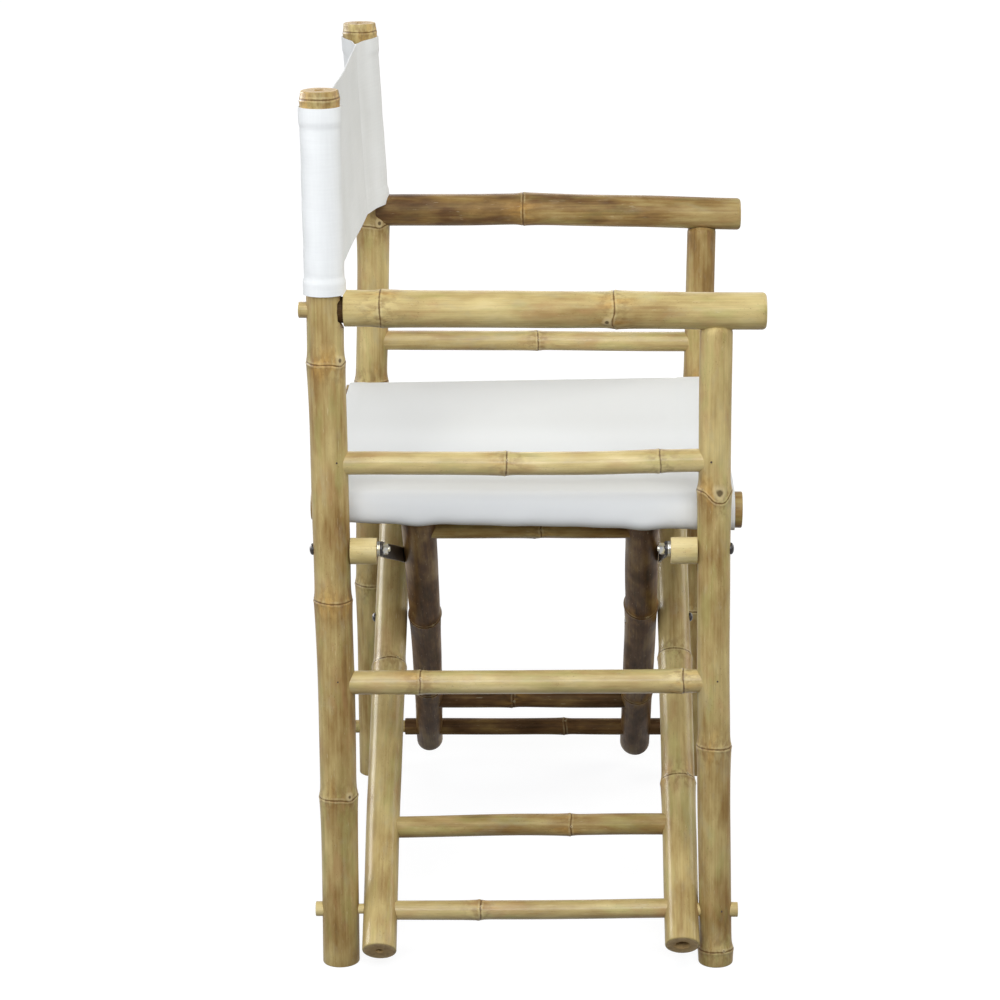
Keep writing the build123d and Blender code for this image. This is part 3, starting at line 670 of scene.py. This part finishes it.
# The left rod's dark tone, 1.0, is painted shade from the seat above it.
rod_tone = {RIGHT: (0.4, 0.5), LEFT: 1.0}
rod_bends = {RIGHT: ((0, -1.8), (0.5, -1), (1, 1.6)), LEFT: ((0, 0), (1, 0))}
whittled = {RIGHT: (5.0, 6.6), LEFT: (7.0, 7.5)}      # radius between leg and post, back and front
stub_radius = 7.4
for side, seed in ((RIGHT, 51), (LEFT, 52)):
    node = side + "_foot_rod"
    low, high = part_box(node)
    axis = middle(node)
    skin = glossy_skin if side == RIGHT else dull_skin
    inside = at_depths(axis, *(beside(f"outer_{end}_leg", axis.z) + way * 6 * MM
                               for end, way in both_ends))
    rod = culm(node, frame_body[side], *inside, rod_radius, rod_knots[side], seed, rod_tone[side],
               rise=0.9, bends=rod_bends[side], bud=0.8, hollows=(0, 0), around=40, skin=skin)
    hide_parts(node)
    for end, outside, inner, thin in (("back", high.y, inside[0].y, whittled[side][0]),
                                      ("front", low.y, inside[1].y, whittled[side][1])):
        post_y = beside(f"{side}_{end}_post", axis.z)
        for part, start, stop, thickness in (("stub", outside, post_y, stub_radius),
                                             ("dowel", post_y, inner, thin)):
            culm(f"{node}_{end}_{part}", frame_body[side], *at_depths(axis, start, stop), thickness, (),
                 seed + 5, 0.35, hollows=(0, 0), around=32, skin=rubbed_skin)


# ---------------------------------------------------------------- rungs
# Two thin culms to a leg frame, tenoned between its legs: one near the floor and one just under
# the seat, where it takes the pull of the canvas.
level = ((0, 0), (1, 0))
# The inner rungs' dark tones are painted shade under the seat, and the outer top rung's pale tone, 0.05,
# is painted light that makes up for the shade it lies in.
rungs = (("outer_rung", 11.0, (0.645,), (0.56, 0.66), rubbed_skin, ((0, -3.4), (0.5, 0.3), (1, 0.8))),
         ("outer_top_rung", 12.0, (0.3,), 0.05, rubbed_skin, level),
         ("inner_rung", 11.0, (0.4,), 1.0, dull_skin, level),
         ("inner_top_rung", 11.5, (0.55,), 0.6, dull_skin, level))
seed = 80
for node, radius, knots, tone, skin, bends in rungs:
    frame_name = node.split("_")[0]
    seed += 1
    piece = culm(node, frame_name + "_leg_frame", *between(frame_name + "_{}_leg", middle(node)), radius,
                 knots, seed, tone, rise=0.9, bends=bends, bud=1.4, hollows=(0, 0), around=40, skin=skin)
    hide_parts(node)


# ---------------------------------------------------------------- seat rails
# A smooth culm along each edge of the seat, inside the canvas, thinner towards the back. Its sawn
# ends show at the front and back.
rail_radius = 16.3
rail_taper = 0.16
rail_ends_up = {RIGHT: (3.0, -3.2), LEFT: (0.5, 3.6)}     # how much higher the back and front ends sit
for side, body, seed in ((RIGHT, "inner_leg_frame", 91), (LEFT, "outer_leg_frame", 92)):
    node = side + "_seat_rail"
    low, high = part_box(node)
    axis = middle(node)
    ends = [Vector((axis.x, y, axis.z + up * MM))
            for y, up in zip((high.y, low.y), rail_ends_up[side])]
    piece = culm(node, body, *ends, rail_radius, (), seed, 0.75, taper=rail_taper,
                 edges=(1.5, 1.5), hollows=(4.5, 4.5), around=56, skin=rubbed_skin)
    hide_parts(node)


# ---------------------------------------------------------------- spacers
# Short lengths of a paler culm, bored through for the link bolts. They hold each link away from its
# post. Their sawn ends are flat, so a dark gap shows where they meet the round post, and they hang
# a little on the thinner bolt.
spacer_radius = 13.0
spacer_drop = 2.0
for side, seed in ((RIGHT, 101), (LEFT, 105)):
    node = side + "_link_spacers"
    axis = middle(node)
    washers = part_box(side + "_link_washers")
    for number, (end, post_y, washer_y) in enumerate((
            ("back", beside(side + "_back_post", axis.z) - post_radius * MM, washers[1].y),
            ("front", beside(side + "_front_post", axis.z) + front_radius[side] * MM, washers[0].y))):
        ends = [Vector((axis.x, y, axis.z - spacer_drop * MM)) for y in (post_y, washer_y)]
        spacer = culm(f"{side}_{end}_link_spacer", frame_body[side], *ends, spacer_radius, (),
                      seed + number, 0.12, edges=(0.5, 0.7), hollows=(0, 0), around=44,
                      skin=rubbed_skin)
        if end == "back":
            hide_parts(node)


# ---------------------------------------------------------------- bolts, nuts and washers
# Stock M6 steel: a blackened domed head outside each post or leg, and washers and a nut in bright zinc
# plate inside. The plating has a fine tumbled grain and a faint yellow bloom, and catches the light.
def zinc_plate():
    """Bright zinc on steel: a metal with a fine grain and a slight colour bloom."""
    m = emptied(bpy.data.materials.new("bright_zinc_plate"))
    place = add(m, "TexCoord", {}).outputs["Object"]
    bloom = add(m, "TexNoise", {"Vector": place, "Scale": 260.0, "Detail": 2.0})
    colour = add(m, "ValToRGB", {"Fac": bloom}, stops=(
        (0.3, "#9C9DA0"), (0.5, "#A8A598"), (0.7, "#ACA07A")))
    grit = add(m, "TexNoise", {"Vector": place, "Scale": 1600.0, "Detail": 3.0})
    rough = add(m, "MapRange", {"Value": grit, "To Min": 0.2, "To Max": 0.4})
    bump = add(m, "Bump", {"Height": grit, "Distance": 0.03 * MM, "Strength": 0.4})
    return surfaced(m, {"Base Color": colour, "Roughness": rough, "Normal": bump, "Metallic": 1.0})


zinc = zinc_plate()


def turned_part(name, body, start, way, profile, material, flats=0, around=36):
    """A turned solid that rides a body."""
    piece = turned_solid(name, start, way, profile, material, flats, around)
    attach(piece, body)
    return piece


# Pairs of distance along the axis and radius, outwards from the face that each part bears on.
dome = [(-1.2, 5.6), (0, 5.8), (0.8, 5.6), (1.7, 4.8), (2.5, 3.4), (2.95, 1.5), (3.0, 0.3)]
washer = [(0, 3.4), (0, 7.2), (0.2, 7.5), (1.2, 7.5), (1.4, 7.2), (1.4, 3.4)]
across_flats = 5.0         # from the nut's axis to each of its six faces
nut = [(0, 5.0), (0.9, 6.1), (4.3, 6.1), (5.2, 5.0), (5.2, 3.2), (4.6, 2.9)]
stud = [(0, 2.7), (6.4, 2.7), (7.2, 2.1)]
short_stud = [(0, 2.7), (5.1, 2.7), (5.6, 2.1)]
Y = Vector((0, 1, 0))


# ---------------------------------------------------------------- links
# A short strap of blackened steel on each corner ties the post to the inner or outer leg beside it.
# It is cranked, so that one end bears on the spacer's washers and the other lies flat on the leg.
def black_oxide():
    """Blackened strap steel: dull and dark, rubbed bright in small spots where it turns."""
    m = emptied(bpy.data.materials.new("black_oxide_steel"))
    place = add(m, "TexCoord", {}).outputs["Object"]
    rub = add(m, "TexNoise", {"Vector": place, "Scale": 140.0, "Detail": 5.0, "Roughness": 0.7})
    colour = add(m, "ValToRGB", {"Fac": rub}, stops=(
        (0.4, "#1E1A18"), (0.62, "#2C2622"), (0.78, "#5F564C")))
    rough = add(m, "MapRange", {"Value": rub, "To Min": 0.42, "To Max": 0.22})
    bump = add(m, "Bump", {"Height": rub, "Distance": 0.05 * MM, "Strength": 0.5})
    return surfaced(m, {"Base Color": colour, "Roughness": rough, "Normal": bump, "Metallic": 0.35})


blackened = black_oxide()
strap_width = 14.5
strap_thickness = 2.4


def strap(name, body, bolt, screw, bolt_y, leg_y, side_way):
    """A cranked strap from the bolt to the screw. bolt_y and leg_y are the faces it bears on."""
    run = Vector((screw.x - bolt.x, 0, screw.z - bolt.z))
    length = run.length / MM
    along = run.normalized()
    over = along.cross(Y)
    half = strap_width / 2
    rows = [(-half + half * (1 - math.cos(t)), half * math.sin(t))
            for t in np.linspace(0.05, math.pi / 2, 9)]
    rows += [(d, half) for d in np.linspace(2, length - 2, 22)]
    rows += [(length + half * math.sin(t), half * math.cos(t))
             for t in np.linspace(0, math.pi / 2 - 0.05, 9)]
    outline = []
    for distance, reach in rows:
        share = float(np.clip((distance - 9) / (length - 20), 0, 1))
        share = share * share * (3 - 2 * share)
        face = bolt_y + (leg_y - bolt_y) * share
        for edge, level in ((-1, 0), (1, 0), (1, 1), (-1, 1)):
            at = along * distance * MM + over * edge * reach * MM
            outline.append((bolt.x + at.x, face + side_way * level * strap_thickness * MM, bolt.z + at.z))
    count = len(rows)
    faces = hoop_faces(count, 4) + [(3, 2, 1, 0), tuple(4 * (count - 1) + i for i in range(4))]
    piece = new_piece(name, np.array(outline), faces, [blackened], smooth=math.radians(40))
    soften = piece.modifiers.new("rolled_edge", "BEVEL")
    soften.width = 0.4 * MM
    soften.segments = 2
    settled(piece)
    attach(piece, body)
    return piece


link_leg = {RIGHT: "inner", LEFT: "outer"}
washer_pitch = 1.5
screw_head = [(-1, 4.4), (0, 4.4), (1.2, 4.2), (2.2, 3.2), (2.6, 1.4), (2.1, 0.9), (2.1, 0.2)]
for side in (RIGHT, LEFT):
    bolts = middle(side + "_link_bolts")
    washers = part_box(side + "_link_washers")
    for end, way in both_ends:
        post = f"{side}_{end}_post"
        radius = post_radius if end == "back" else front_radius[side]
        outside = beside(post, bolts.z) + way * (radius + 0.5) * MM
        head = turned_part(f"{side}_{end}_bolt_head", frame_body[side],
                           Vector((bolts.x, outside, bolts.z)), Y * way, dome, blackened)
        start = washers[1].y if end == "back" else washers[0].y
        flat = Vector((bolts.x, start, bolts.z))
        rings = [turned_part(f"{side}_{end}_washer_{n}", frame_body[side],
                             flat - Y * way * (washer_pitch * n + 0.1) * MM, Y * -way, washer, zinc)
                 for n in range(2)]
        bolt_y = start - way * (2 * washer_pitch + 0.1) * MM
        node = f"{side}_{end}_link"
        screw = middle(node + "_screw")
        leg = f"{link_leg[side]}_{end}_leg"
        leg_face = beside(leg, screw.z) + way * (legs[leg][0] + 0.2) * MM
        leg_y = leg_face + way * strap_thickness * MM
        piece = strap(node, node, Vector((bolts.x, 0, bolts.z)), screw, bolt_y, leg_y, -way)
        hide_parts(node)
        tight = Vector((bolts.x, bolt_y - way * (strap_thickness + 0.1) * MM, bolts.z))
        hexagon = turned_part(f"{side}_{end}_nut", frame_body[side], tight, Y * -way, nut, zinc,
                              flats=across_flats)
        turned_part(f"{side}_{end}_bolt_tip", frame_body[side], tight, Y * -way, stud, zinc)
        pan = turned_part(node + "_screw_head", node,
                          Vector((screw.x, leg_y + way * 0.1 * MM, screw.z)), Y * way, screw_head, zinc)
        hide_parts(node + "_screw")
        if end == "back":
            for part, group in ((head, "bolts"), (rings[0], "washers"), (hexagon, "nuts")):
                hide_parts(f"{side}_link_{group}")

for end, way in both_ends:
    outer_leg, inner_leg = f"outer_{end}_leg", f"inner_{end}_leg"
    outer = beside(outer_leg, crossing.z) + way * (legs[outer_leg][0] + 0.3) * MM
    inner = beside(inner_leg, crossing.z) - way * (legs[inner_leg][0] - counterbore + 0.1) * MM
    place, inside = at_depths(crossing, outer, inner)
    small_dome = [(distance * 1.05, radius * 0.82) for distance, radius in dome]
    head = turned_part(f"crossing_{end}_bolt_head", "outer_leg_frame", place, Y * way, small_dome,
                       blackened)
    turned_part(f"crossing_{end}_washer", "outer_leg_frame", inside, Y * -way, washer, zinc)
    tight = inside - Y * way * 1.5 * MM
    hexagon = turned_part(f"crossing_{end}_nut", "outer_leg_frame", tight, Y * -way, nut, zinc,
                          flats=across_flats)
    turned_part(f"crossing_{end}_bolt_tip", "outer_leg_frame", tight, Y * -way, short_stud, zinc)
    if end == "back":
        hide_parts("crossing_bolts")
        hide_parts("crossing_nuts")


# ---------------------------------------------------------------- nails
# Thin wire nails pin each tenon. They are driven just under the skin, and their heads have gone
# brown under the lacquer.
def nail_steel():
    """Wire nails gone brown under the lacquer: dark, dull and pitted."""
    m = emptied(bpy.data.materials.new("browned_nail_steel"))
    place = add(m, "TexCoord", {}).outputs["Object"]
    rust = add(m, "TexNoise", {"Vector": place, "Scale": 900.0, "Detail": 4.0})
    colour = add(m, "ValToRGB", {"Fac": rust}, stops=((0.35, "#3B2C20"), (0.65, "#6A563E")))
    bump = add(m, "Bump", {"Height": rust, "Distance": 0.1 * MM, "Strength": 0.6})
    return surfaced(m, {"Base Color": colour, "Roughness": 0.5, "Normal": bump})


browned = nail_steel()
nail_head = [(0, 1.0), (1.4, 1.0), (1.65, 0.8), (1.75, 0.2)]
nail_rise = 4.0            # how far over the rail's axis
nail_turn = {"mid_rail": (28, -14), "lower_rail": (10, 12), "foot_rod": (12, 22)}    # degrees forward
for side, out_x in ((RIGHT, -1), (LEFT, 1)):
    first = None
    for rail, turns in nail_turn.items():
        for end, turn_of in zip(("back", "front"), turns):
            post = f"{side}_{end}_post"
            radius = post_radius if end == "back" else front_radius[side] + 0.3
            height = middle(f"{side}_{rail}").z + nail_rise * MM
            side_turn = math.radians(turn_of)
            way = Vector((out_x * math.cos(side_turn), -math.sin(side_turn), 0))
            base = Vector((middle(post).x, beside(post, height), height)) + way * (radius - 1.5) * MM
            nail = turned_part(f"{side}_{rail}_{end}_nail", frame_body[side], base, way, nail_head,
                               browned, around=16)
            first = first or nail
    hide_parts(side + "_brads")


# ---------------------------------------------------------------- seat canvas
# One piece of heavy cotton canvas in plain weave. Each side is turned back on itself round its rail
# and sewn down, the front and back edges are hemmed, and the sleeves are cut out round the legs.
def cotton_canvas():
    """Bleached cotton canvas: matt, with the crossing threads of a plain weave and thicker slubs.
    The threads are about 0.7 mm apart and drawn at 1.1 mm, so that they show."""
    m = emptied(bpy.data.materials.new("cotton_canvas"))
    weave = add(m, "Attribute", {}, attribute_name="weave").outputs["Vector"]
    thread = 1.1
    waves = []
    for direction in ("X", "Y"):
        at = add(m, "VectorMath", {0: weave, 1: (1 / thread,) * 3}, operation="MULTIPLY")
        wave = add(m, "TexWave", {"Vector": at, "Scale": 1 / math.pi, "Distortion": 0.6,
                                            "Detail": 2.0, "Detail Scale": 0.3},
                   wave_type="BANDS", bands_direction=direction)
        waves.append(wave.outputs["Fac"])
    cloth = add(m, "Math", {0: waves[0], 1: waves[1]}, operation="MULTIPLY")
    slubs = []
    for across, along in ((2.2, 40.0), (40.0, 2.2)):
        at = add(m, "VectorMath", {0: weave, 1: (1 / across, 1 / along, 0)}, operation="MULTIPLY")
        slubs.append(add(m, "TexNoise", {"Vector": at, "Scale": 1.0, "Detail": 3.0}))
    slub = add(m, "Math", {0: slubs[0], 1: slubs[1]}, operation="ADD")
    broad_at = add(m, "VectorMath", {0: weave, 1: (0.012,) * 3}, operation="MULTIPLY")
    broad = add(m, "TexNoise", {"Vector": broad_at, "Scale": 1.0, "Detail": 2.0})
    white = add(m, "ValToRGB", {"Fac": broad}, stops=((0.3, "#EAEBE8"), (0.7, "#F2F3F1")))
    shade = add(m, "MapRange", {"Value": cloth, "From Max": 0.5, "To Min": 0.95, "To Max": 1.0})
    streak = add(m, "MapRange", {"Value": slub, "From Min": 0.7, "From Max": 1.3, "To Min": 0.965,
                                 "To Max": 1.01})
    shade = add(m, "Math", {0: shade, 1: streak}, operation="MULTIPLY")
    colour = add(m, "MixRGB", {"Fac": 1.0, "Color1": white, "Color2": shade}, blend_type="MULTIPLY")
    relief = add(m, "Math", {0: cloth, 1: slub}, operation="ADD")
    bump = add(m, "Bump", {"Height": relief, "Distance": 0.1 * MM, "Strength": 0.3})
    return surfaced(m, {"Base Color": colour, "Roughness": 0.9, "Normal": bump, "Sheen Weight": 0.1,
                        "Specular IOR Level": 0.2})


canvas = cotton_canvas()


def smooth_step(value, low, high):
    """0 below low, 1 above high, with soft ends."""
    share = np.clip((value - low) / (high - low), 0, 1)
    return share * share * (3 - 2 * share)


def walked(corners, count):
    """Points at even steps along a line through the corners, and the distance walked to each."""
    corners = np.array(corners, float)
    lengths = np.concatenate([[0], np.cumsum(np.linalg.norm(np.diff(corners, axis=0), axis=1))])
    walk = np.linspace(0, lengths[-1], count)
    return np.stack([np.interp(walk, lengths, corners[:, axis]) for axis in range(2)], 1), walk


def cloth_piece(name, grid, weave, thickness, bores=()):
    """A sheet of cloth from a grid of points in mm, with a real thickness. weave holds the place of
    each point on the flat cloth."""
    rows, columns = grid.shape[:2]
    points = grid.reshape(-1, 3) * MM
    faces = [(r * columns + c, r * columns + c + 1, (r + 1) * columns + c + 1, (r + 1) * columns + c)
             for r in range(rows - 1) for c in range(columns - 1)]
    fold = math.radians(70)
    piece = new_piece(name, points, faces, [canvas], smooth=fold)
    place = piece.data.attributes.new("weave", "FLOAT_VECTOR", "POINT")
    flat = np.concatenate([weave.reshape(-1, 2), np.zeros((rows * columns, 1))], 1)
    place.data.foreach_set("vector", flat.astype(np.float32).ravel())
    thick = piece.modifiers.new("thickness", "SOLIDIFY")
    thick.thickness = thickness * MM
    thick.offset = 0
    mesh = settled(piece)
    if bores:
        bored_by(piece, bores)
        mesh = piece.data
        mesh.materials.clear()
        mesh.materials.append(canvas)
    mesh.set_sharp_from_angle(angle=fold)
    return piece


def rail_wrap(inward, radius):
    """Half of the seat's section about a rail: from the hem's raw edge under the sheet, out round the
    rail and back to its top. The outer face hangs flatter than the rail. inward is +1 or -1."""
    seam, hem = 34.0, 10.0
    under = radius - 1.3
    touch = math.atan2(under, seam) - math.acos(radius / math.hypot(seam, under))
    points = [(inward * (seam + hem), under), (inward * seam, under)]
    for step in range(41):
        angle = touch + (-math.pi * 1.5 - touch) * step / 40
        side_way, up_way = math.cos(angle), math.sin(angle)
        square = 2.5 if side_way < 0 else 2
        loose = radius / (abs(side_way) ** square + abs(up_way) ** square) ** (1 / square)
        points.append((inward * loose * side_way, loose * up_way))
    return points


cloth_thickness = 1.2
rail_axis = {side: middle(side + "_seat_rail") / MM for side in (RIGHT, LEFT)}
rail_ends = [corner.y / MM for corner in reversed(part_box("right_seat_rail"))]
low, high = (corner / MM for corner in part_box("seat_canvas"))
depth = np.linspace(high.y, low.y, 110)
grid, weave = [], []
for y in depth:
    share = (y - rail_ends[0]) / (rail_ends[1] - rail_ends[0])
    radius = rail_radius * (1 + rail_taper * (share - 0.5)) + 0.9
    corners = []
    for side, inward in ((RIGHT, 1), (LEFT, -1)):
        centre = rail_axis[side].z + rail_ends_up[side][0] * (1 - share) + rail_ends_up[side][1] * share
        corners += [(rail_axis[side].x + x, centre + z) for x, z in rail_wrap(inward, radius)][::inward]
    section, walk = walked(corners, 220)
    grid.append(np.stack([section[:, 0], np.full(220, y), section[:, 1]], 1))
    weave.append(np.stack([walk, np.full(220, y)], 1))
grid, weave = np.array(grid), np.array(weave)
across, along, height = grid[..., 0], grid[..., 1], grid[..., 2]
span = rail_axis[LEFT].x
on_sheet = smooth_step(span - 4 - np.abs(across), 0, 110) * (height > rail_axis[LEFT].z + 14)
sag = 1.6 * (1 - (across / span) ** 2) * (1 - 0.35 * ((along - along.mean()) / (high.y - low.y) * 2) ** 2)
ripple = 0.35 * np.sin(across / 31 + along / 77) + 0.25 * np.sin(along / 23 - across / 90)
height = height - on_sheet * (sag + ripple)
for side in (RIGHT, LEFT):
    # The sleeve is loose: it stands out in a lip beside each leg, and in shallow creases between.
    leg_frame = "inner" if side == RIGHT else "outer"
    out_x, out_z = across - rail_axis[side].x, height - rail_axis[side].z
    reach = np.hypot(out_x, out_z)
    wrapped = (1 - smooth_step(reach, 20, 24)) * smooth_step(-out_z, -6, 12)
    loose = 0.35 + 0.25 * np.sin(along / 17) + 0.2 * np.sin(along / 7.3 + out_z / 9)
    for end in ("back", "front"):
        leg_y = float(beside(f"{leg_frame}_{end}_leg", rail_axis[side].z * MM)) / MM
        loose = loose + 2.0 * np.exp(-((along - leg_y) / 15) ** 2) * smooth_step(-out_z, 4, 16)
    across = across + wrapped * loose * out_x / reach
    height = height + wrapped * loose * out_z / reach
# The hems stand out by the cloth's double thickness, and their stitches pull them in.
swell = 0
for from_edge, hem in ((along - low.y, 44.0), (high.y - along, 20.0)):      # front, back
    swell = swell + 0.5 * (1 - smooth_step(from_edge, hem - 1, hem + 1))
    swell = swell - 0.55 * np.exp(-((from_edge - hem) / 1.6) ** 2)
outward = np.stack([np.where(np.abs(across) > span - 3, np.sign(across), 0), height * 0,
                    np.where(height > rail_axis[RIGHT].z, 1.0, 0.0)], 2)
grid = np.stack([across, along, height], 2) + outward * swell[..., None]
cut_length, cut_over, cut_gap = 80.0, 4.0, 1.5      # below and over the leg's tip, and round the leg
cutouts = []
for leg, (radius, *_) in legs.items():
    foot, tip, _ = stance[leg]
    slope = (tip - foot).normalized()
    cutouts.append((tip - slope * cut_length * MM, tip + slope * cut_over * MM, radius + cut_gap))
seat = cloth_piece("seat_canvas_cloth", grid, weave, cloth_thickness, cutouts)
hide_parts("seat_canvas")
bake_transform(seat)


# ---------------------------------------------------------------- back canvas
# The same canvas, cut as a band. Its ends are turned round the tops of the back posts and sewn to
# the band, and its upper and lower edges are hemmed, so the sleeves stand out a little there.
back_radius = 18.7
hem_width = 18.0
low, high = (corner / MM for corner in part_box("back_canvas"))
post_axis = {side: middle(side + "_back_post") / MM for side in (RIGHT, LEFT)}
levels = np.linspace(low.z, high.z, 64)
seam_reach = 72.0
sleeve_body = {RIGHT: "right_side_frame", LEFT: "left_side_frame"}


def hem_swell(level):
    """How far the hemmed edges stand out, with a pinch where the stitches pull them in."""
    from_edge = np.minimum(level - low.z, high.z - level)
    band = 1 - smooth_step(from_edge, hem_width - 3, hem_width + 3)
    pinch = np.exp(-((from_edge - hem_width) / 2.2) ** 2)
    return 1.1 * band - 0.45 * pinch


for side, inward in ((RIGHT, 1), (LEFT, -1)):
    centre = np.array((post_axis[side].x, post_axis[side].y))
    angle = math.acos(back_radius / seam_reach)
    turns = np.linspace(angle, 2 * math.pi - angle, 60)
    loop = [(inward * seam_reach, 0.15)]
    loop += [(inward * back_radius * math.cos(t), back_radius * math.sin(t)) for t in turns]
    loop += [(inward * seam_reach, 0.15)]
    section, walk = walked(loop, 90)
    reach = np.linalg.norm(section, axis=1)
    # The cloth leaves the post in a soft curve, and so joins the band without an edge.
    ease = smooth_step(reach, back_radius + 3, seam_reach)
    section[:, 1] = section[:, 1] * (1 - 0.25 * ease * (1 - ease) * 4)
    around = np.repeat(section[None, :, :], len(levels), 0)
    swell = hem_swell(levels)[:, None] * (1 - smooth_step(reach, 24, 44))[None, :]
    wobble = 0.15 * np.sin(levels[:, None] / 13 + 3 * np.arctan2(around[..., 1], around[..., 0]))
    wobble = wobble + 0.1 * np.sin(levels[:, None] / 6.1 + 2 * np.arctan2(around[..., 1], around[..., 0]))
    wobble = wobble * (1 - smooth_step(reach, 22, 40))[None, :]
    grown = around * (1 + (swell + wobble) / reach)[:, :, None]
    bend = (beside(side + "_back_post", levels * MM) / MM - post_axis[side].y)[:, None]
    lift = np.clip((low.z + 60 - levels[:, None]) / 60, 0, 1) * (1 - smooth_step(reach, 24, 48))[None, :]
    rise = (8.0 if side == RIGHT else 1.0) * lift
    grid = np.stack([grown[..., 0] + centre[0], grown[..., 1] + centre[1] + bend,
                     levels[:, None] + rise], 2)
    weave = np.stack([walk[None, :] + 0 * levels[:, None], levels[:, None] + 0 * walk[None, :]], 2)
    sleeve = cloth_piece(side + "_back_sleeve", grid, weave, cloth_thickness)
    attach(sleeve, sleeve_body[side])

reach = post_axis[LEFT].x - seam_reach + 6
across = np.linspace(-reach, reach, 130)[None, :] + 0 * levels[:, None]
level = levels[:, None] + 0 * across
share = across / reach
slack = 1 - share ** 2
bend = beside("left_back_post", level * MM) / MM - post_axis[LEFT].y
depth = post_axis[LEFT].y + bend * (share + 1) / 2
depth = depth + 2.0 * slack * np.sin((level - low.z) / (high.z - low.z) * math.pi)
depth = depth + 0.5 * np.sin(across / 34 + level / 50) * slack
from_edge = np.minimum(level - low.z, high.z - level)
depth = depth - 0.3 * (1 - smooth_step(from_edge, hem_width - 1, hem_width + 1))
droop = 5.0 * slack * ((level - low.z) / (high.z - low.z)) ** 3
grid = np.stack([across, depth, level - droop], 2)
weave = np.stack([across, level], 2)
panel = cloth_piece("back_panel", grid, weave, cloth_thickness)
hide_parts("back_canvas")
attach(panel, "right_side_frame")
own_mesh(panel)


# ---------------------------------------------------------------- floor, light and camera
# A pale floor under a white surround. A large soft panel stands high beside the chair, others stand
# low before and behind it, and the floor returns only a little light.
def seen_from(m):
    """1 for a ray that shows its source to the eye, straight or by way of a shine, and 0 for light."""
    rays = add(m, "LightPath", {})
    seen = add(m, "Math", {0: rays.outputs["Is Camera Ray"], 1: rays.outputs["Is Glossy Ray"]},
               operation="MAXIMUM")
    return add(m, "Math", {0: seen, 1: rays.outputs["Is Transmission Ray"]}, operation="MAXIMUM")


def pale_floor():
    """Matt floor paint: white to the eye, with a soft shadow, and grey to the light it returns."""
    m = emptied(bpy.data.materials.new("floor_paint"))
    place = add(m, "TexCoord", {}).outputs["Object"]
    away = add(m, "VectorMath", {0: place}, operation="LENGTH").outputs["Value"]
    bright = add(m, "MapRange", {"Value": away, "From Min": 0.9, "From Max": 3.5, "To Min": 0.87,
                                 "To Max": 1.0})
    glow = add(m, "Emission", {"Color": linear("#FFFFFF"), "Strength": bright})
    paint = add(m, "BsdfDiffuse", {"Color": (0.2, 0.2, 0.2, 1)})
    shown = add(m, "AddShader", {0: glow, 1: paint})
    # To the light, the floor is grey and darkest near the chair, which paints shade on the undersides of
    # the low poles.
    far_off = add(m, "MapRange", {"Value": away, "From Min": 0.35, "From Max": 1.6})
    grey = add(m, "MixRGB", {"Fac": far_off, "Color1": (0.07, 0.066, 0.058, 1),
                             "Color2": (0.25, 0.235, 0.21, 1)})
    hidden = add(m, "BsdfDiffuse", {"Color": grey})
    add(m, "OutputMaterial", {"Surface": add(m, "MixShader", {0: seen_from(m), 1: hidden, 2: shown})})
    return m


floor_reach = 40.0
corners = [(x * floor_reach, y * floor_reach, 0) for x, y in ((-1, -1), (1, -1), (1, 1), (-1, 1))]
floor = new_piece("floor", np.array(corners), [(0, 1, 2, 3)], [pale_floor()])

world = emptied(bpy.data.worlds.new("surround"))
ambient = add(world, "Background", {"Color": linear("#F6F8FF"), "Strength": 0.2})
white = add(world, "Background", {"Color": linear("#FFFFFF"), "Strength": 1.0})
both = add(world, "MixShader", {0: seen_from(world), 1: ambient, 2: white})
add(world, "OutputWorld", {"Surface": both})
bpy.context.scene.world = world


def soft_panel(name, place, size, watts, colour):
    """A rectangular light panel that faces the chair's middle."""
    light = bpy.data.lights.new(name, "AREA")
    light.shape = "RECTANGLE"
    light.size, light.size_y = size
    light.energy = watts
    light.color = linear(colour)[:3]
    lamp = bpy.data.objects.new(name, light)
    lamp.location = place
    lamp.rotation_euler = (Vector((0, 0, 0.45)) - Vector(place)).to_track_quat("-Z", "Y").to_euler()
    bpy.context.scene.collection.objects.link(lamp)


soft_panel("key_panel", (-1.9, -0.1, 3.1), (2.4, 1.8), 50, "#FFFDF6")
soft_panel("camera_panel", (-3.0, -0.1, 1.9), (2.8, 0.9), 66, "#EDF3FF")
soft_panel("front_panel", (1.3, -2.9, 1.5), (1.8, 1.3), 44, "#FFFDF6")
soft_panel("rear_panel", (-0.6, 3.0, 1.3), (1.8, 1.4), 38, "#F6F9FF")
soft_panel("far_panel", (3.0, 0.4, 2.0), (1.5, 1.5), 20, "#FFFFFF")
# A white card behind the chair's left side, which only shows as a soft streak on the lacquer.
soft_panel("card", (1.3, 2.8, 1.45), (3.2, 1.3), 220, "#FFFFFF")
bpy.data.objects["card"].visible_diffuse = False

eye = Vector((-3.07018, -0.0506, 1.26))
yaw, pitch, roll = 0.0298, -0.2714, -0.0098
ahead = Vector((math.cos(yaw) * math.cos(pitch), math.sin(yaw) * math.cos(pitch), math.sin(pitch)))
level_right = Vector((math.sin(yaw), -math.cos(yaw), 0))
upright = level_right.cross(ahead)
right = math.cos(roll) * level_right + math.sin(roll) * upright
up = math.cos(roll) * upright - math.sin(roll) * level_right
camera = bpy.data.objects.new("camera", bpy.data.cameras.new("camera"))
camera.data.sensor_width = 36.0
camera.data.lens = 109.0
camera.matrix_world = Matrix.Translation(eye) @ Matrix((right, up, -ahead)).transposed().to_4x4()
bpy.context.scene.collection.objects.link(camera)
bpy.context.scene.camera = camera
bpy.context.scene.view_settings.view_transform = "Standard"
